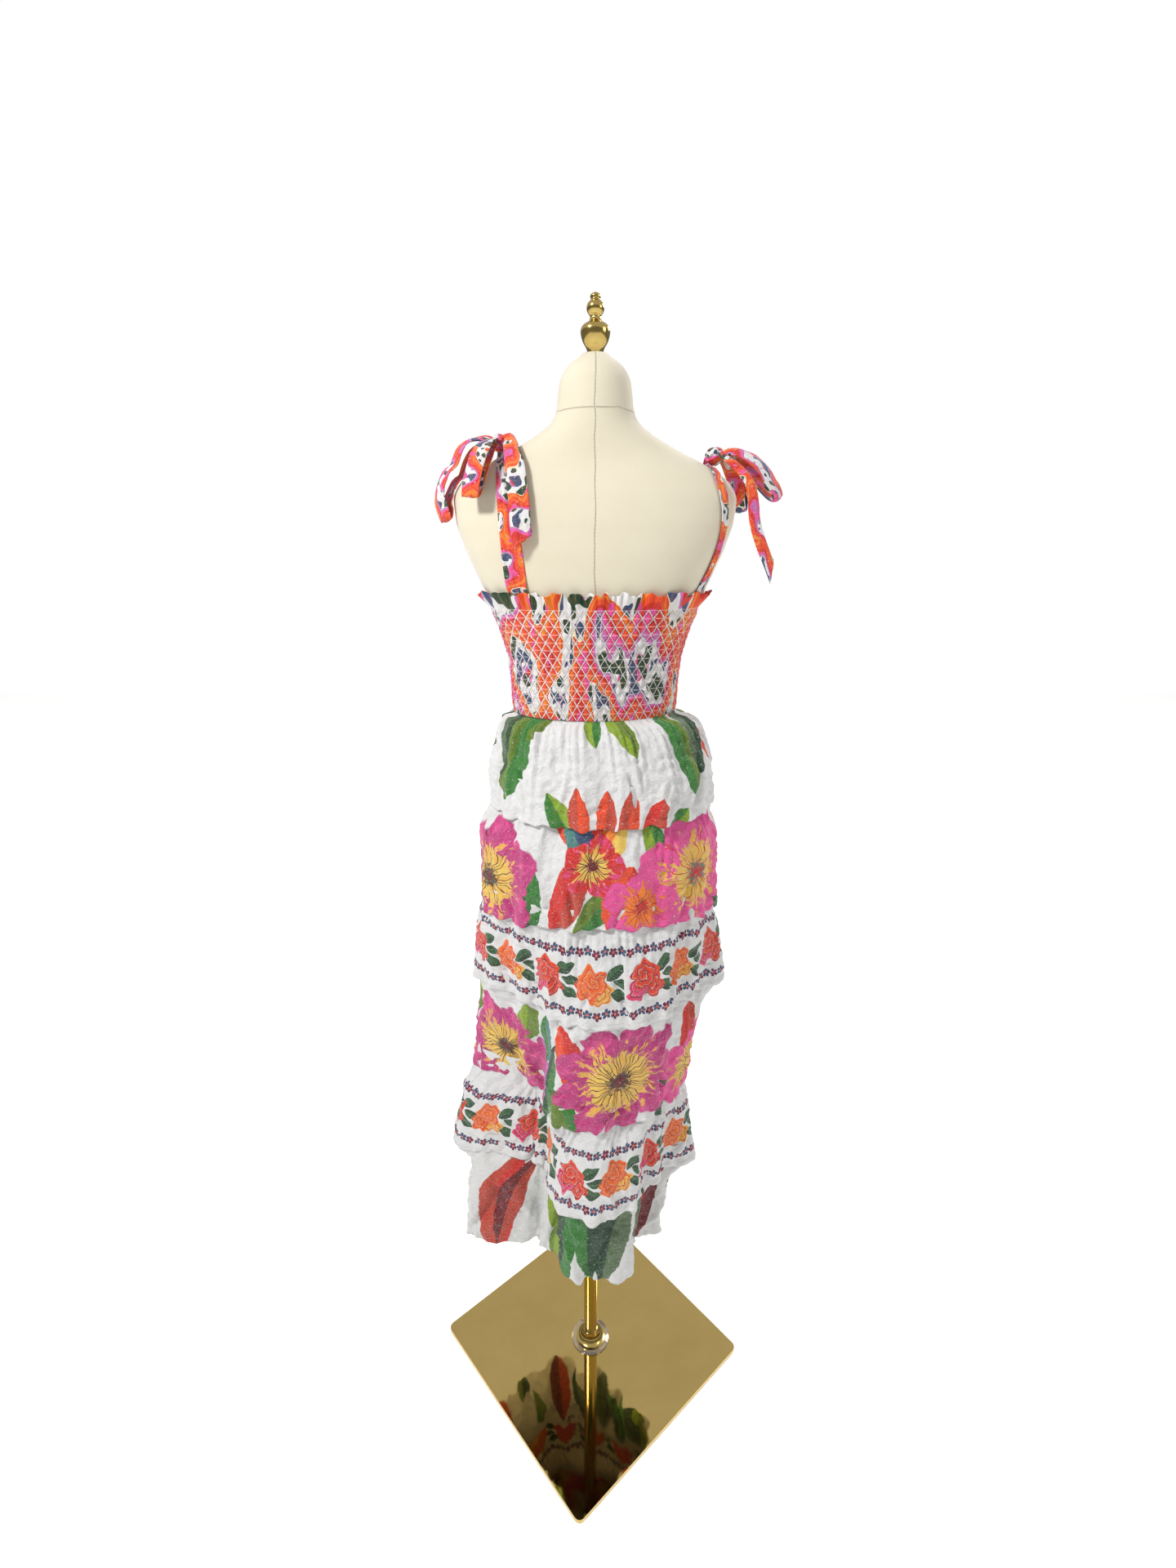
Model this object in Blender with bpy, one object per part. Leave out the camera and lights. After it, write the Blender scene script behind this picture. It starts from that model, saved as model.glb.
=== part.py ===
"""A tiered midi dress with a smocked bodice and tied shoulder straps, on a limbless dress form.

Metres, +Z up. The origin is the centre of the base plate's underside, on the floor.
The dress's back faces -Y and its front faces +Y.
"""

import math

import bmesh
import bpy
from mathutils import Vector

# Gaps and walls
SEAM_GAP = 0.0003
CLOTH_WALL = 0.0020
NEST_GAP = 0.0007
HEM_GAP = 0.0040

# Stand
PLATE_SIDE = 0.380
PLATE_THICK = 0.008
PLATE_CORNER = 0.010
PLATE_TURN = math.radians(41.1)
POLE_RADIUS = 0.0120
POLE_SIDES = 18
COLLAR_RADIUS = 0.0260
COLLAR_HEIGHT = 0.0240
COLLAR_LIP = 0.0025
COLLAR_STEPS = 4

# Dress form, from its underside to the top of its neck cap
FORM_SIDES = 34
FORM_SHIFT = 0.004
FORM_SECTIONS = (
    # height, half width, depth behind, depth in front, squareness
    (0.915, 0.050, 0.045, 0.045, 2.0),
    (0.919, 0.100, 0.078, 0.076, 2.0),
    (0.938, 0.127, 0.096, 0.092, 2.1),
    (0.980, 0.136, 0.105, 0.098, 2.1),
    (1.030, 0.136, 0.106, 0.100, 2.1),
    (1.075, 0.130, 0.102, 0.098, 2.1),
    (1.130, 0.118, 0.092, 0.094, 2.0),
    (1.193, 0.1075, 0.083, 0.089, 2.0),
    (1.235, 0.1085, 0.083, 0.094, 2.0),
    (1.268, 0.1120, 0.085, 0.103, 2.0),
    (1.300, 0.1210, 0.088, 0.114, 2.1),
    (1.331, 0.1335, 0.090, 0.120, 2.2),
    (1.357, 0.1460, 0.091, 0.117, 2.3),
    (1.395, 0.1630, 0.090, 0.104, 2.4),
    (1.428, 0.1750, 0.085, 0.088, 2.4),
    (1.460, 0.1790, 0.074, 0.073, 2.3),
    (1.476, 0.1715, 0.064, 0.064, 2.2),
    (1.487, 0.1570, 0.057, 0.058, 2.2),
    (1.4976, 0.1380, 0.051, 0.053, 2.2),
    (1.513, 0.1030, 0.048, 0.050, 2.1),
    (1.529, 0.0735, 0.047, 0.049, 2.0),
    (1.543, 0.0530, 0.046, 0.048, 2.0),
    (1.556, 0.0470, 0.045, 0.046, 2.0),
    (1.590, 0.0430, 0.042, 0.042, 2.0),
    (1.6046, 0.0343, 0.034, 0.034, 2.0),
    (1.613, 0.0226, 0.0226, 0.0226, 2.0),
    (1.6182, 0.0120, 0.0120, 0.0120, 2.0),
)
SHOULDER_FROM = 1.460
FINIAL_SIDES = 14
FINIAL_PROFILE = (
    # height above the neck cap, radius
    (0.0000, 0.0090),
    (0.0100, 0.0135),
    (0.0190, 0.0170),
    (0.0260, 0.0172),
    (0.0310, 0.0135),
    (0.0345, 0.0080),
    (0.0385, 0.0064),
    (0.0420, 0.0082),
    (0.0480, 0.0104),
    (0.0530, 0.0086),
    (0.0562, 0.0060),
    (0.0600, 0.0062),
    (0.0632, 0.0030),
)

# Bodice, smocked in a lattice of diamonds below a plain frill
WAIST = 1.193
SMOCK_TOP = 1.328
FRILL_TOP = 1.346
SMOCK_ROWS = 14
SMOCK_DIAMONDS = 24
SMOCK_WALL = 0.0014
SMOCK_RELIEF = 0.0016
BODICE_EASE = 0.0009
FRILL_WAVES = 21
FRILL_LEAN = 0.0042
FRILL_DEPTH = 0.0030

# Skirt, six gathered tiers. Each hangs from the inside of the one above
TIER_COLUMNS = 36
TIER_ROWS = {
    # tier: rows of height, sideways shift, half width, depth behind, depth in front, pleat depth
    1: (
        (1.1926, 0.004, 0.1112, 0.0867, 0.0927, 0.0000),
        (1.1740, 0.010, 0.1340, 0.1050, 0.1080, 0.0042),
        (1.1180, 0.014, 0.1540, 0.1210, 0.1250, 0.0045),
        (1.0630, 0.014, 0.1540, 0.1270, 0.1330, 0.0060),
    ),
    2: (
        (1.0250, 0.010, 0.1680, 0.1300, 0.1340, 0.0045),
        (0.9550, 0.009, 0.1692, 0.1306, 0.1358, 0.0054),
        (0.9100, 0.009, 0.1700, 0.1310, 0.1370, 0.0060),
    ),
    3: (
        (0.8720, 0.009, 0.1780, 0.1390, 0.1450, 0.0060),
        (0.8230, 0.011, 0.1828, 0.1431, 0.1478, 0.0072),
        (0.7850, 0.012, 0.1860, 0.1460, 0.1500, 0.0080),
    ),
    4: (
        (0.7480, -0.006, 0.1700, 0.1360, 0.1430, 0.0065),
        (0.6430, -0.019, 0.1715, 0.1360, 0.1452, 0.0076),
        (0.6050, -0.024, 0.1720, 0.1360, 0.1460, 0.0080),
    ),
    5: (
        (0.5680, -0.026, 0.1800, 0.1420, 0.1500, 0.0075),
        (0.4990, -0.030, 0.1920, 0.1530, 0.1560, 0.0085),
        (0.4600, -0.033, 0.1960, 0.1570, 0.1590, 0.0100),
    ),
    6: (
        (0.4200, -0.034, 0.1660, 0.1250, 0.1380, 0.0090),
        (0.3600, -0.041, 0.1640, 0.1250, 0.1380, 0.0120),
        (0.3000, -0.045, 0.1640, 0.1290, 0.1400, 0.0150),
    ),
}
PLEATS = {
    # tier: pleats round it, phase, unevenness
    1: (18, 0.4, 0.9),
    2: (15, 1.9, 1.1),
    3: (17, 3.1, 1.0),
    4: (14, 0.9, 1.2),
    5: (15, 2.3, 1.2),
    6: (12, 4.0, 1.3),
}
LARGE_FOLDS = (
    # tier, direction in degrees from the right side, spread in degrees, push at the top, at the hem
    (3, 225, 24, -0.006, -0.034),
    (3, 322, 18, -0.004, -0.028),
    (3, 60, 20, 0.000, -0.018),
    (4, 218, 34, -0.020, -0.085),
    (4, 75, 18, -0.004, -0.016),
    (5, 227, 34, -0.085, -0.106),
    (5, 322, 18, -0.006, -0.030),
    (5, 60, 20, -0.004, -0.022),
    (5, 138, 16, -0.004, -0.018),
    (6, 241, 30, -0.080, -0.072),
    (6, 327, 15, -0.020, -0.032),
    (6, 100, 18, 0.004, 0.014),
    (6, 40, 16, -0.010, -0.022),
)
HEM_RISE = {
    # tier: how much higher the hem is at the middle of the back, and of the front, than at the sides
    1: (0.000, -0.004),
    2: (0.016, 0.004),
    3: (0.000, 0.000),
    4: (0.000, 0.004),
    5: (0.000, 0.004),
    6: (0.000, 0.006),
}

# Straps, tied in a bow on each shoulder
STRAP_WALL = 0.0014
STRAP_EASE = 0.0012
STRAP_STATIONS = 18
STRAPS = {
    # side: across at the shoulder, across at the bodice, bulge, width at the bodice, at the knot
    "left": (-0.106, -0.089, 0.000, 0.028, 0.014),
    "right": (0.145, 0.130, 0.021, 0.013, 0.012),
}
KNOT_SIZE = (0.0120, 0.0130, 0.0100)
BOW_STEPS = 3
BOW_CLEAR = 0.0034
PINCH = 0.40
BOW_PIECES = (
    # name, width, half spread of a loop or 0 for a tail, slant of the end, gap at the knot, facing,
    # points from the knot's centre
    ("loop_a_left", 0.025, 0.0080, 0.0, 0.0005, (-0.60, -0.45, 0.60),
     ((-0.022, 0.000, 0.002), (-0.042, -0.006, -0.008), (-0.056, -0.012, -0.046), (-0.062, -0.018, -0.084))),
    ("loop_b_left", 0.022, 0.0060, 0.0, 0.0014, (-0.25, -0.80, 0.50),
     ((-0.009, -0.022, -0.002), (-0.018, -0.052, -0.022), (-0.028, -0.074, -0.064))),
    ("tail_a_left", 0.024, 0.0, 0.007, 0.0010, (0.00, -1.00, 0.30),
     ((0.012, -0.018, 0.002), (0.021, -0.044, -0.026), (0.028, -0.072, -0.070), (0.032, -0.086, -0.119))),
    ("tail_b_left", 0.020, 0.0, -0.007, 0.0003, (0.00, 1.00, 0.30),
     ((-0.001, 0.022, 0.001), (-0.003, 0.052, -0.030), (-0.004, 0.078, -0.070), (-0.004, 0.094, -0.112))),
    ("loop_a_right", 0.024, 0.0075, 0.0, 0.0015, (0.40, -0.65, 0.60),
     ((0.020, -0.006, 0.002), (0.046, -0.012, -0.014), (0.074, -0.018, -0.047))),
    ("loop_b_right", 0.022, 0.0065, 0.0, 0.0010, (0.50, 0.60, 0.60),
     ((0.016, 0.018, 0.002), (0.036, 0.038, -0.020), (0.044, 0.050, -0.056))),
    ("tail_a_right", 0.015, 0.0, 0.012, 0.0005, (0.25, -0.95, 0.10),
     ((0.008, -0.021, -0.004), (0.037, -0.036, -0.034), (0.048, -0.038, -0.085), (0.071, -0.038, -0.137))),
    ("tail_b_right", 0.018, 0.0, 0.006, 0.0010, (0.10, 1.00, 0.30),
     ((-0.004, 0.021, 0.000), (-0.002, 0.050, -0.026), (-0.004, 0.060, -0.066), (-0.008, 0.068, -0.108))),
)

# Colours
CREAM = (0.80, 0.74, 0.60, 1.0)
BRASS = (0.62, 0.47, 0.18, 1.0)
PRINT_WHITE = (0.85, 0.84, 0.80, 1.0)
PRINT_CORAL = (0.82, 0.24, 0.14, 1.0)
PRINT_ROSE = (0.86, 0.50, 0.42, 1.0)

BACK = "back"
FRONT = "front"


def clear_scene():
    for old in list(bpy.data.objects):
        bpy.data.objects.remove(old)


def finish(name, rgba, roughness, metallic=0.0):
    """A material with the piece's own colour."""
    made = bpy.data.materials.new(name)
    made.use_nodes = True
    shader = made.node_tree.nodes["Principled BSDF"]
    shader.inputs["Base Color"].default_value = rgba
    shader.inputs["Roughness"].default_value = roughness
    shader.inputs["Metallic"].default_value = metallic
    made.diffuse_color = rgba
    return made


def add_object(name, bm, material, smooth_angle=40):
    """Turns a bmesh into one named object, shaded smooth but for its sharp edges."""
    bmesh.ops.recalc_face_normals(bm, faces=bm.faces)
    mesh = bpy.data.meshes.new(name)
    bm.to_mesh(mesh)
    bm.free()
    mesh.shade_smooth()
    mesh.set_sharp_from_angle(angle=math.radians(smooth_angle))
    mesh.materials.append(material)
    made = bpy.data.objects.new(name, mesh)
    bpy.context.scene.collection.objects.link(made)
    return made


def loft(bm, loops, closed=True):
    """Faces between loops of the same number of points. Returns the rows of vertices."""
    rows = [[bm.verts.new(p) for p in loop] for loop in loops]
    count = len(rows[0])
    steps = count if closed else count - 1
    for low, high in zip(rows, rows[1:]):
        for i in range(steps):
            j = (i + 1) % count
            bm.faces.new((low[i], low[j], high[j], high[i]))
    return rows


def capped(name, loops, material, smooth_angle=40):
    """A solid lofted between closed loops, with a face over its first and last."""
    bm = bmesh.new()
    rows = loft(bm, loops)
    bm.faces.new(rows[0])
    bm.faces.new(rows[-1])
    return add_object(name, bm, material, smooth_angle)


def ring(radius, height, sides, centre=Vector()):
    """A level circle of points."""
    turns = (2 * math.pi * i / sides for i in range(sides))
    return [centre + Vector((radius * math.cos(a), radius * math.sin(a), height)) for a in turns]


def smock_faces(bm, low, high, row):
    """Two triangles in each cell, split between the two corners where the cloth is stitched down."""
    for i in range(len(low) - 1):
        a, b, c, d = low[i], low[i + 1], high[i + 1], high[i]
        halves = ((a, b, c), (a, c, d)) if (i + row) % 2 == 0 else ((a, b, d), (b, c, d))
        for half in halves:
            bm.faces.new(half)


def wall(name, outer, inner, material, smocked_rows=0):
    """A cloth wall between two open sets of rows with the same columns, lowest row first."""
    bm = bmesh.new()
    out_rows = [[bm.verts.new(p) for p in line] for line in outer[:smocked_rows]]
    for row in range(smocked_rows - 1):
        smock_faces(bm, out_rows[row], out_rows[row + 1], row)
    plain = loft(bm, outer[smocked_rows:], closed=False)
    if smocked_rows:
        for i in range(len(plain[0]) - 1):
            low = out_rows[-1]
            bm.faces.new((low[i], low[i + 1], plain[0][i + 1], plain[0][i]))
    out_rows += plain
    in_rows = loft(bm, inner, closed=False)
    for a, b in ((out_rows[0], in_rows[0]), (out_rows[-1], in_rows[-1])):
        for i in range(len(a) - 1):
            bm.faces.new((a[i], a[i + 1], b[i + 1], b[i]))
    for end in (0, -1):
        bm.faces.new([row[end] for row in out_rows] + [row[end] for row in reversed(in_rows)])
    return add_object(name, bm, material)


def between(table, height):
    """Linear values of a table whose first column is height."""
    height = min(max(height, table[0][0]), table[-1][0])
    for low, high in zip(table, table[1:]):
        if height <= high[0]:
            share = (height - low[0]) / (high[0] - low[0])
            return [a + (b - a) * share for a, b in zip(low[1:], high[1:])]
    return list(table[-1][1:])


def oval(angle, half_width, behind, in_front, square=2.0):
    """A point of a body's section. Angle 0 is +X and 90 degrees is the front, +Y."""
    c, s = math.cos(angle), math.sin(angle)
    power = 2.0 / square
    depth = in_front if s > 0 else behind
    x = half_width * math.copysign(abs(c) ** power, c)
    y = depth * math.copysign(abs(s) ** power, s)
    return x, y


def form_point(angle, height, ease=0.0):
    """A point on the dress form, moved out by ease."""
    half_width, behind, in_front, square = between(FORM_SECTIONS, height)
    x, y = oval(angle, half_width + ease, behind + ease, in_front + ease, square)
    return Vector((FORM_SHIFT + x, y, height))


def form_value(p):
    """Negative inside the dress form, 0 on it and positive outside."""
    half_width, behind, in_front, square = between(FORM_SECTIONS, p.z)
    depth = in_front if p.y > 0 else behind
    return (abs(p.x - FORM_SHIFT) / half_width) ** square + (abs(p.y) / depth) ** square - 1.0


def form_normal(p):
    """The direction straight out of the dress form near a point."""
    step = 0.002
    slope = [
        form_value(p + Vector(axis) * step) - form_value(p - Vector(axis) * step)
        for axis in ((1, 0, 0), (0, 1, 0), (0, 0, 1))
    ]
    return Vector(slope).normalized()


def off_form(p, ease):
    """A point moved straight out until it stands clear of the dress form by ease."""
    normal = form_normal(p)
    low, high = -0.05, 0.05
    if form_value(p - normal * ease) >= 0.0:
        return p
    while high - low > 1e-5:
        middle = (low + high) / 2
        if form_value(p + normal * middle) > 0.0:
            high = middle
        else:
            low = middle
    return p + normal * (high + ease)


def form_depth(x, height, side):
    """How far the form's surface lies from its middle plane at x."""
    half_width, behind, in_front, square = between(FORM_SECTIONS, height)
    across = min(abs(x - FORM_SHIFT) / half_width, 1.0)
    depth = behind if side == BACK else in_front
    return depth * (1.0 - across ** square) ** (1.0 / square)


def shoulder_height(x):
    """The height where the form's shoulder line passes x."""
    across = abs(x - FORM_SHIFT)
    slope = [row for row in FORM_SECTIONS if row[0] >= SHOULDER_FROM]
    for low, high in zip(slope, slope[1:]):
        if high[1] <= across <= low[1]:
            share = (low[1] - across) / (low[1] - high[1])
            return low[0] + (high[0] - low[0]) * share
    return slope[0][0]


def side_angles(side, columns, radius):
    """Angles from seam to seam of the front or back, short of each side seam by half the gap."""
    start = math.pi if side == BACK else 0.0
    trim = SEAM_GAP / 2 / radius
    span = math.pi - 2 * trim
    return [start + trim + span * i / columns for i in range(columns + 1)]


def build_stand(brass):
    """Base plate, pole and the collar at the pole's foot."""
    bm = bmesh.new()
    bmesh.ops.create_cube(bm, size=1.0)
    bmesh.ops.scale(bm, vec=(PLATE_SIDE, PLATE_SIDE, PLATE_THICK), verts=bm.verts)
    upright = [e for e in bm.edges if abs(e.verts[0].co.z - e.verts[1].co.z) > PLATE_THICK / 2]
    bmesh.ops.bevel(bm, geom=upright, offset=PLATE_CORNER, segments=5, affect="EDGES", profile=0.5)
    plate = add_object("base_plate", bm, brass, 30)
    plate.location = (0.0, 0.0, PLATE_THICK / 2)
    plate.rotation_euler = (0.0, 0.0, PLATE_TURN)

    foot = PLATE_THICK + SEAM_GAP
    top = FORM_SECTIONS[0][0] - SEAM_GAP
    capped("pole", [ring(POLE_RADIUS, height, POLE_SIDES) for height in (foot, top)], brass)
    build_collar(foot, brass)


def build_collar(foot, brass):
    """A hollow trumpet round the pole's foot."""
    bore = POLE_RADIUS + 2 * SEAM_GAP
    flare = COLLAR_RADIUS - bore - COLLAR_LIP
    section = [(bore, foot), (COLLAR_RADIUS, foot), (COLLAR_RADIUS, foot + COLLAR_LIP)]
    for i in range(1, COLLAR_STEPS + 1):
        turn = math.pi / 2 * i / COLLAR_STEPS
        height = foot + COLLAR_LIP + (COLLAR_HEIGHT - COLLAR_LIP) * (1 - math.cos(turn))
        section.append((COLLAR_RADIUS - flare * math.sin(turn), height))
    section.append((bore, foot + COLLAR_HEIGHT))
    bm = bmesh.new()
    rows = loft(bm, [ring(radius, height, POLE_SIDES) for radius, height in section])
    for i in range(POLE_SIDES):
        j = (i + 1) % POLE_SIDES
        bm.faces.new((rows[-1][i], rows[-1][j], rows[0][j], rows[0][i]))
    add_object("pole_collar", bm, brass)


def build_form(cream, brass):
    """The padded torso with its neck cap, and the turned finial."""
    turns = [2 * math.pi * i / FORM_SIDES for i in range(FORM_SIDES)]
    loops = [[form_point(a, row[0]) for a in turns] for row in FORM_SECTIONS]
    capped("form_torso", loops, cream, 60)
    cap = Vector((FORM_SHIFT, 0.0, FORM_SECTIONS[-1][0] + SEAM_GAP))
    turned = [ring(radius, height, FINIAL_SIDES, cap) for height, radius in FINIAL_PROFILE]
    capped("finial", turned, brass)


def frill_wave(angle):
    """The frill's wave round the bodice's top edge, from -1 to 1."""
    uneven = 0.7 * math.sin(3 * angle + 0.6) + 0.4 * math.sin(7 * angle)
    return math.cos(FRILL_WAVES * angle + uneven)


def build_bodice(side, cloth):
    """Half of the bodice: puffs between the lattice's stitches, and a frill above them."""
    columns = 2 * SMOCK_DIAMONDS
    angles = side_angles(side, columns, 0.11)
    ease = BODICE_EASE + SMOCK_WALL
    outer = []
    for row in range(SMOCK_ROWS + 1):
        height = WAIST + (SMOCK_TOP - WAIST) * row / SMOCK_ROWS
        line = []
        for i, angle in enumerate(angles):
            puffed = (i + row) % 2 == 1 and 0 < i < columns and 0 < row < SMOCK_ROWS
            line.append(form_point(angle, height, ease + SMOCK_RELIEF * puffed))
        outer.append(line)

    levels = [WAIST] + [row[0] for row in FORM_SECTIONS if WAIST < row[0] < SMOCK_TOP] + [SMOCK_TOP]
    inner = [[form_point(angle, height, BODICE_EASE) for angle in angles] for height in levels]
    for share in (0.5, 1.0):
        height = SMOCK_TOP + (FRILL_TOP - SMOCK_TOP) * share
        push = [share * (FRILL_LEAN + FRILL_DEPTH * frill_wave(angle)) for angle in angles]
        outer.append([form_point(a, height, ease + out) for a, out in zip(angles, push)])
        inner.append([form_point(a, height, BODICE_EASE + out) for a, out in zip(angles, push)])
    return wall(f"bodice_{side}", outer, inner, cloth, SMOCK_ROWS + 1)


def pleat(tier, angle, depth):
    """How far the pleats push a tier's wall out at an angle, for a pleat depth."""
    count, phase, uneven = PLEATS[tier]
    warp = uneven * math.sin(2 * angle + phase) + 0.6 * uneven * math.sin(5 * angle + 2 * phase)
    size = 0.75 + 0.25 * math.sin(3 * angle + phase)
    return depth * size * math.cos(count * angle + phase + warp)


def large_fold(tier, angle, share):
    """The named folds of a tier, at a share of the way from its top to its hem."""
    push = 0.0
    for row_tier, direction, spread, top_push, hem_push in LARGE_FOLDS:
        if row_tier == tier:
            apart = (math.degrees(angle) - direction + 180.0) % 360.0 - 180.0
            depth = top_push + (hem_push - top_push) * share
            push += depth * math.exp(-((apart / spread) ** 4))
    return push


def tier_row(tier, row, share, angles):
    """One row of a tier's outer wall. share is 0 at its top and 1 at its hem."""
    height, shift, half_width, behind, in_front, depth = row
    back_rise, front_rise = HEM_RISE[tier] if share == 1.0 else (0.0, 0.0)
    line = []
    for angle in angles:
        push = pleat(tier, angle, depth) + large_fold(tier, angle, share)
        x, y = oval(angle, half_width + push, behind + push, in_front + push)
        rise = (front_rise if math.sin(angle) > 0 else back_rise) * math.sin(angle) ** 2
        line.append(Vector((shift + x, y, height + rise)))
    return line


def moved_in(line, shift, distance):
    """A row of points moved level towards the skirt's middle."""
    moved = []
    for p in line:
        inward = Vector((shift - p.x, -p.y, 0.0)).normalized()
        moved.append(p + inward * distance)
    return moved


def build_tier(tier, side, above, cloth):
    """Half of a tier, hung inside the one above. Returns its seam row, hem row and shift."""
    angles = side_angles(side, TIER_COLUMNS, 0.16)
    own = TIER_ROWS[tier]
    rows, shifts = [], []
    if above:
        seam, hem, shift = above
        rows = [
            moved_in(seam, shift, CLOTH_WALL + NEST_GAP),
            moved_in(hem, shift, CLOTH_WALL + HEM_GAP),
        ]
        shifts = [shift, shift]
    top = rows[0][0].z if above else own[0][0]
    bottom = own[-1][0]
    for row in own:
        rows.append(tier_row(tier, row, (top - row[0]) / (top - bottom), angles))
        shifts.append(row[1])
    inner = [moved_in(line, shift, CLOTH_WALL) for line, shift in zip(rows, shifts)]
    wall(f"tier_{tier}_{side}", rows[::-1], inner[::-1], cloth)
    return rows[-2], rows[-1], shifts[-1]


def build_skirt(cloths):
    for side in (BACK, FRONT):
        above = None
        for tier in TIER_ROWS:
            above = build_tier(tier, side, above, cloths[tier])


def evenly(points, count):
    """The same route with count points, equal steps apart."""
    runs = [0.0]
    for a, b in zip(points, points[1:]):
        runs.append(runs[-1] + (b - a).length)
    made, at = [], 0
    for i in range(count):
        want = runs[-1] * i / (count - 1)
        while at < len(runs) - 2 and runs[at + 1] < want:
            at += 1
        share = (want - runs[at]) / (runs[at + 1] - runs[at])
        made.append(points[at].lerp(points[at + 1], share))
    return made


def smooth_route(points, steps):
    """A smooth curve through points, with steps pieces between each two."""
    ends = [points[0] * 2 - points[1]] + points + [points[-1] * 2 - points[-2]]
    route = []
    for a, b, c, d in zip(ends, ends[1:], ends[2:], ends[3:]):
        for i in range(steps):
            t = i / steps
            route.append(
                b + (c - a) * (t / 2)
                + (a * 2 - b * 5 + c * 4 - d) * (t * t / 2)
                + (b * 3 - a - c * 3 + d) * (t * t * t / 2)
            )
    return route + [points[-1]]


def square_to(route, at, direction):
    """The part of a direction that is square to a route at one of its points."""
    last = len(route) - 1
    along = (route[min(at + 1, last)] - route[max(at - 1, 0)]).normalized()
    return (direction - along * direction.dot(along)).normalized()


def band(name, path, normals, widths, slant, material, level_start=False):
    """A flat strap along a path. Each normal points away from what the strap lies on."""
    loops = []
    last = len(path) - 1
    for i, (p, normal, width) in enumerate(zip(path, normals, widths)):
        along = (path[min(i + 1, last)] - path[max(i - 1, 0)]).normalized()
        across = along.cross(normal).normalized() * width / 2
        up = across.cross(along).normalized() * STRAP_WALL
        skew = along * slant if i == last else Vector()
        right, left = p + across + skew, p - across - skew
        loops.append([left, right, right + up, left + up])
    if level_start:
        loops[0] = [Vector((p.x, p.y, path[0].z)) for p in loops[0]]
    return capped(name, loops, material, 30)


def build_strap(side_name, side, material):
    """A strap that lies on the form from the bodice's top edge to the shoulder line."""
    top_x, foot_x, bulge, foot_width, top_width = STRAPS[side_name]
    foot, crown = FRILL_TOP + 2 * SEAM_GAP, shoulder_height(top_x)
    sign = -1.0 if side == BACK else 1.0
    fine = []
    samples = 120
    for i in range(samples):
        rise = math.sin(math.pi / 2 * i / samples)
        height = foot + (crown - foot) * rise
        x = foot_x + (top_x - foot_x) * rise + math.copysign(bulge, top_x) * math.sin(math.pi * rise)
        fine.append(Vector((x, sign * form_depth(x, height, side), height)))
    path = evenly(fine, STRAP_STATIONS)
    normals = [form_normal(p) for p in path]
    path = [p + normal * STRAP_EASE for p, normal in zip(path, normals)]
    steps = STRAP_STATIONS - 1
    widths = [foot_width + (top_width - foot_width) * i / steps for i in range(STRAP_STATIONS)]
    band(f"strap_{side}_{side_name}", path, normals, widths, 0.0, material, level_start=True)


def knot_centre(side_name):
    """Where the knot sits on the two straps, straight out from the shoulder line."""
    top_x = STRAPS[side_name][0]
    crown = Vector((top_x, 0.0, shoulder_height(top_x)))
    normal = form_normal(crown)
    normal = Vector((normal.x, 0.0, normal.z)).normalized()
    reach = Vector([size * part for size, part in zip(KNOT_SIZE, normal)]).length
    return crown + normal * (STRAP_EASE + STRAP_WALL + 2 * SEAM_GAP + reach)


def build_knot(side_name, material):
    """The tied knot, a small rounded block."""
    bm = bmesh.new()
    bmesh.ops.create_uvsphere(bm, u_segments=12, v_segments=7, radius=1.0)
    bmesh.ops.scale(bm, vec=KNOT_SIZE, verts=bm.verts)
    bmesh.ops.translate(bm, vec=knot_centre(side_name), verts=bm.verts)
    add_object(f"knot_{side_name}", bm, material, 60)


def build_bow_piece(name, width, spread, slant, gap, facing, points, material):
    """A loop or a tail of a bow, which starts at the knot's surface."""
    centre = knot_centre("left" if name.endswith("left") else "right")
    out = Vector(points[0]).normalized()
    surface = 1.0 / Vector([part / size for size, part in zip(KNOT_SIZE, out)]).length
    start = centre + out * (surface + gap)
    route = smooth_route([start] + [centre + Vector(p) for p in points], BOW_STEPS)
    last = len(route) - 1
    shares = [i / last for i in range(last + 1)]
    widths = [width * (PINCH + (1 - PINCH) * min(1.0, 2.5 * share)) for share in shares]
    normals = [square_to(route, i, Vector(facing)) for i in range(last + 1)]
    tilts = [normal.cross(form_normal(p)).length for p, normal in zip(route, normals)]
    clear = [BOW_CLEAR + w / 2 * tilt for w, tilt in zip(widths, tilts)]
    if not spread:
        path = route[:2] + [off_form(p, ease) for p, ease in zip(route[2:], clear[2:])]
        band(name, path, normals, widths, slant, material)
        return
    opened = [spread * (0.30 + 0.70 * math.sin(math.pi * min(1.0, share * 0.85))) for share in shares]
    near = [p - n * s for p, n, s in zip(route, normals, opened)]
    near = near[:2] + [off_form(p, ease) for p, ease in zip(near[2:], clear[2:])]
    far = [p + n * s * 2 for p, n, s in zip(near, normals, opened)]
    tip = (near[-1] + far[-1]) / 2 + (route[-1] - route[-2]).normalized() * opened[-1]
    path = far + [tip] + near[::-1]
    turn_normals = normals + [(route[-1] - route[-2]).normalized()] + [-n for n in normals[::-1]]
    band(name, path, turn_normals, widths + [width] + widths[::-1], 0.0, material)


def build_straps(material):
    for side_name in STRAPS:
        for side in (BACK, FRONT):
            build_strap(side_name, side, material)
        build_knot(side_name, material)
    for piece in BOW_PIECES:
        build_bow_piece(*piece, material)


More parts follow.
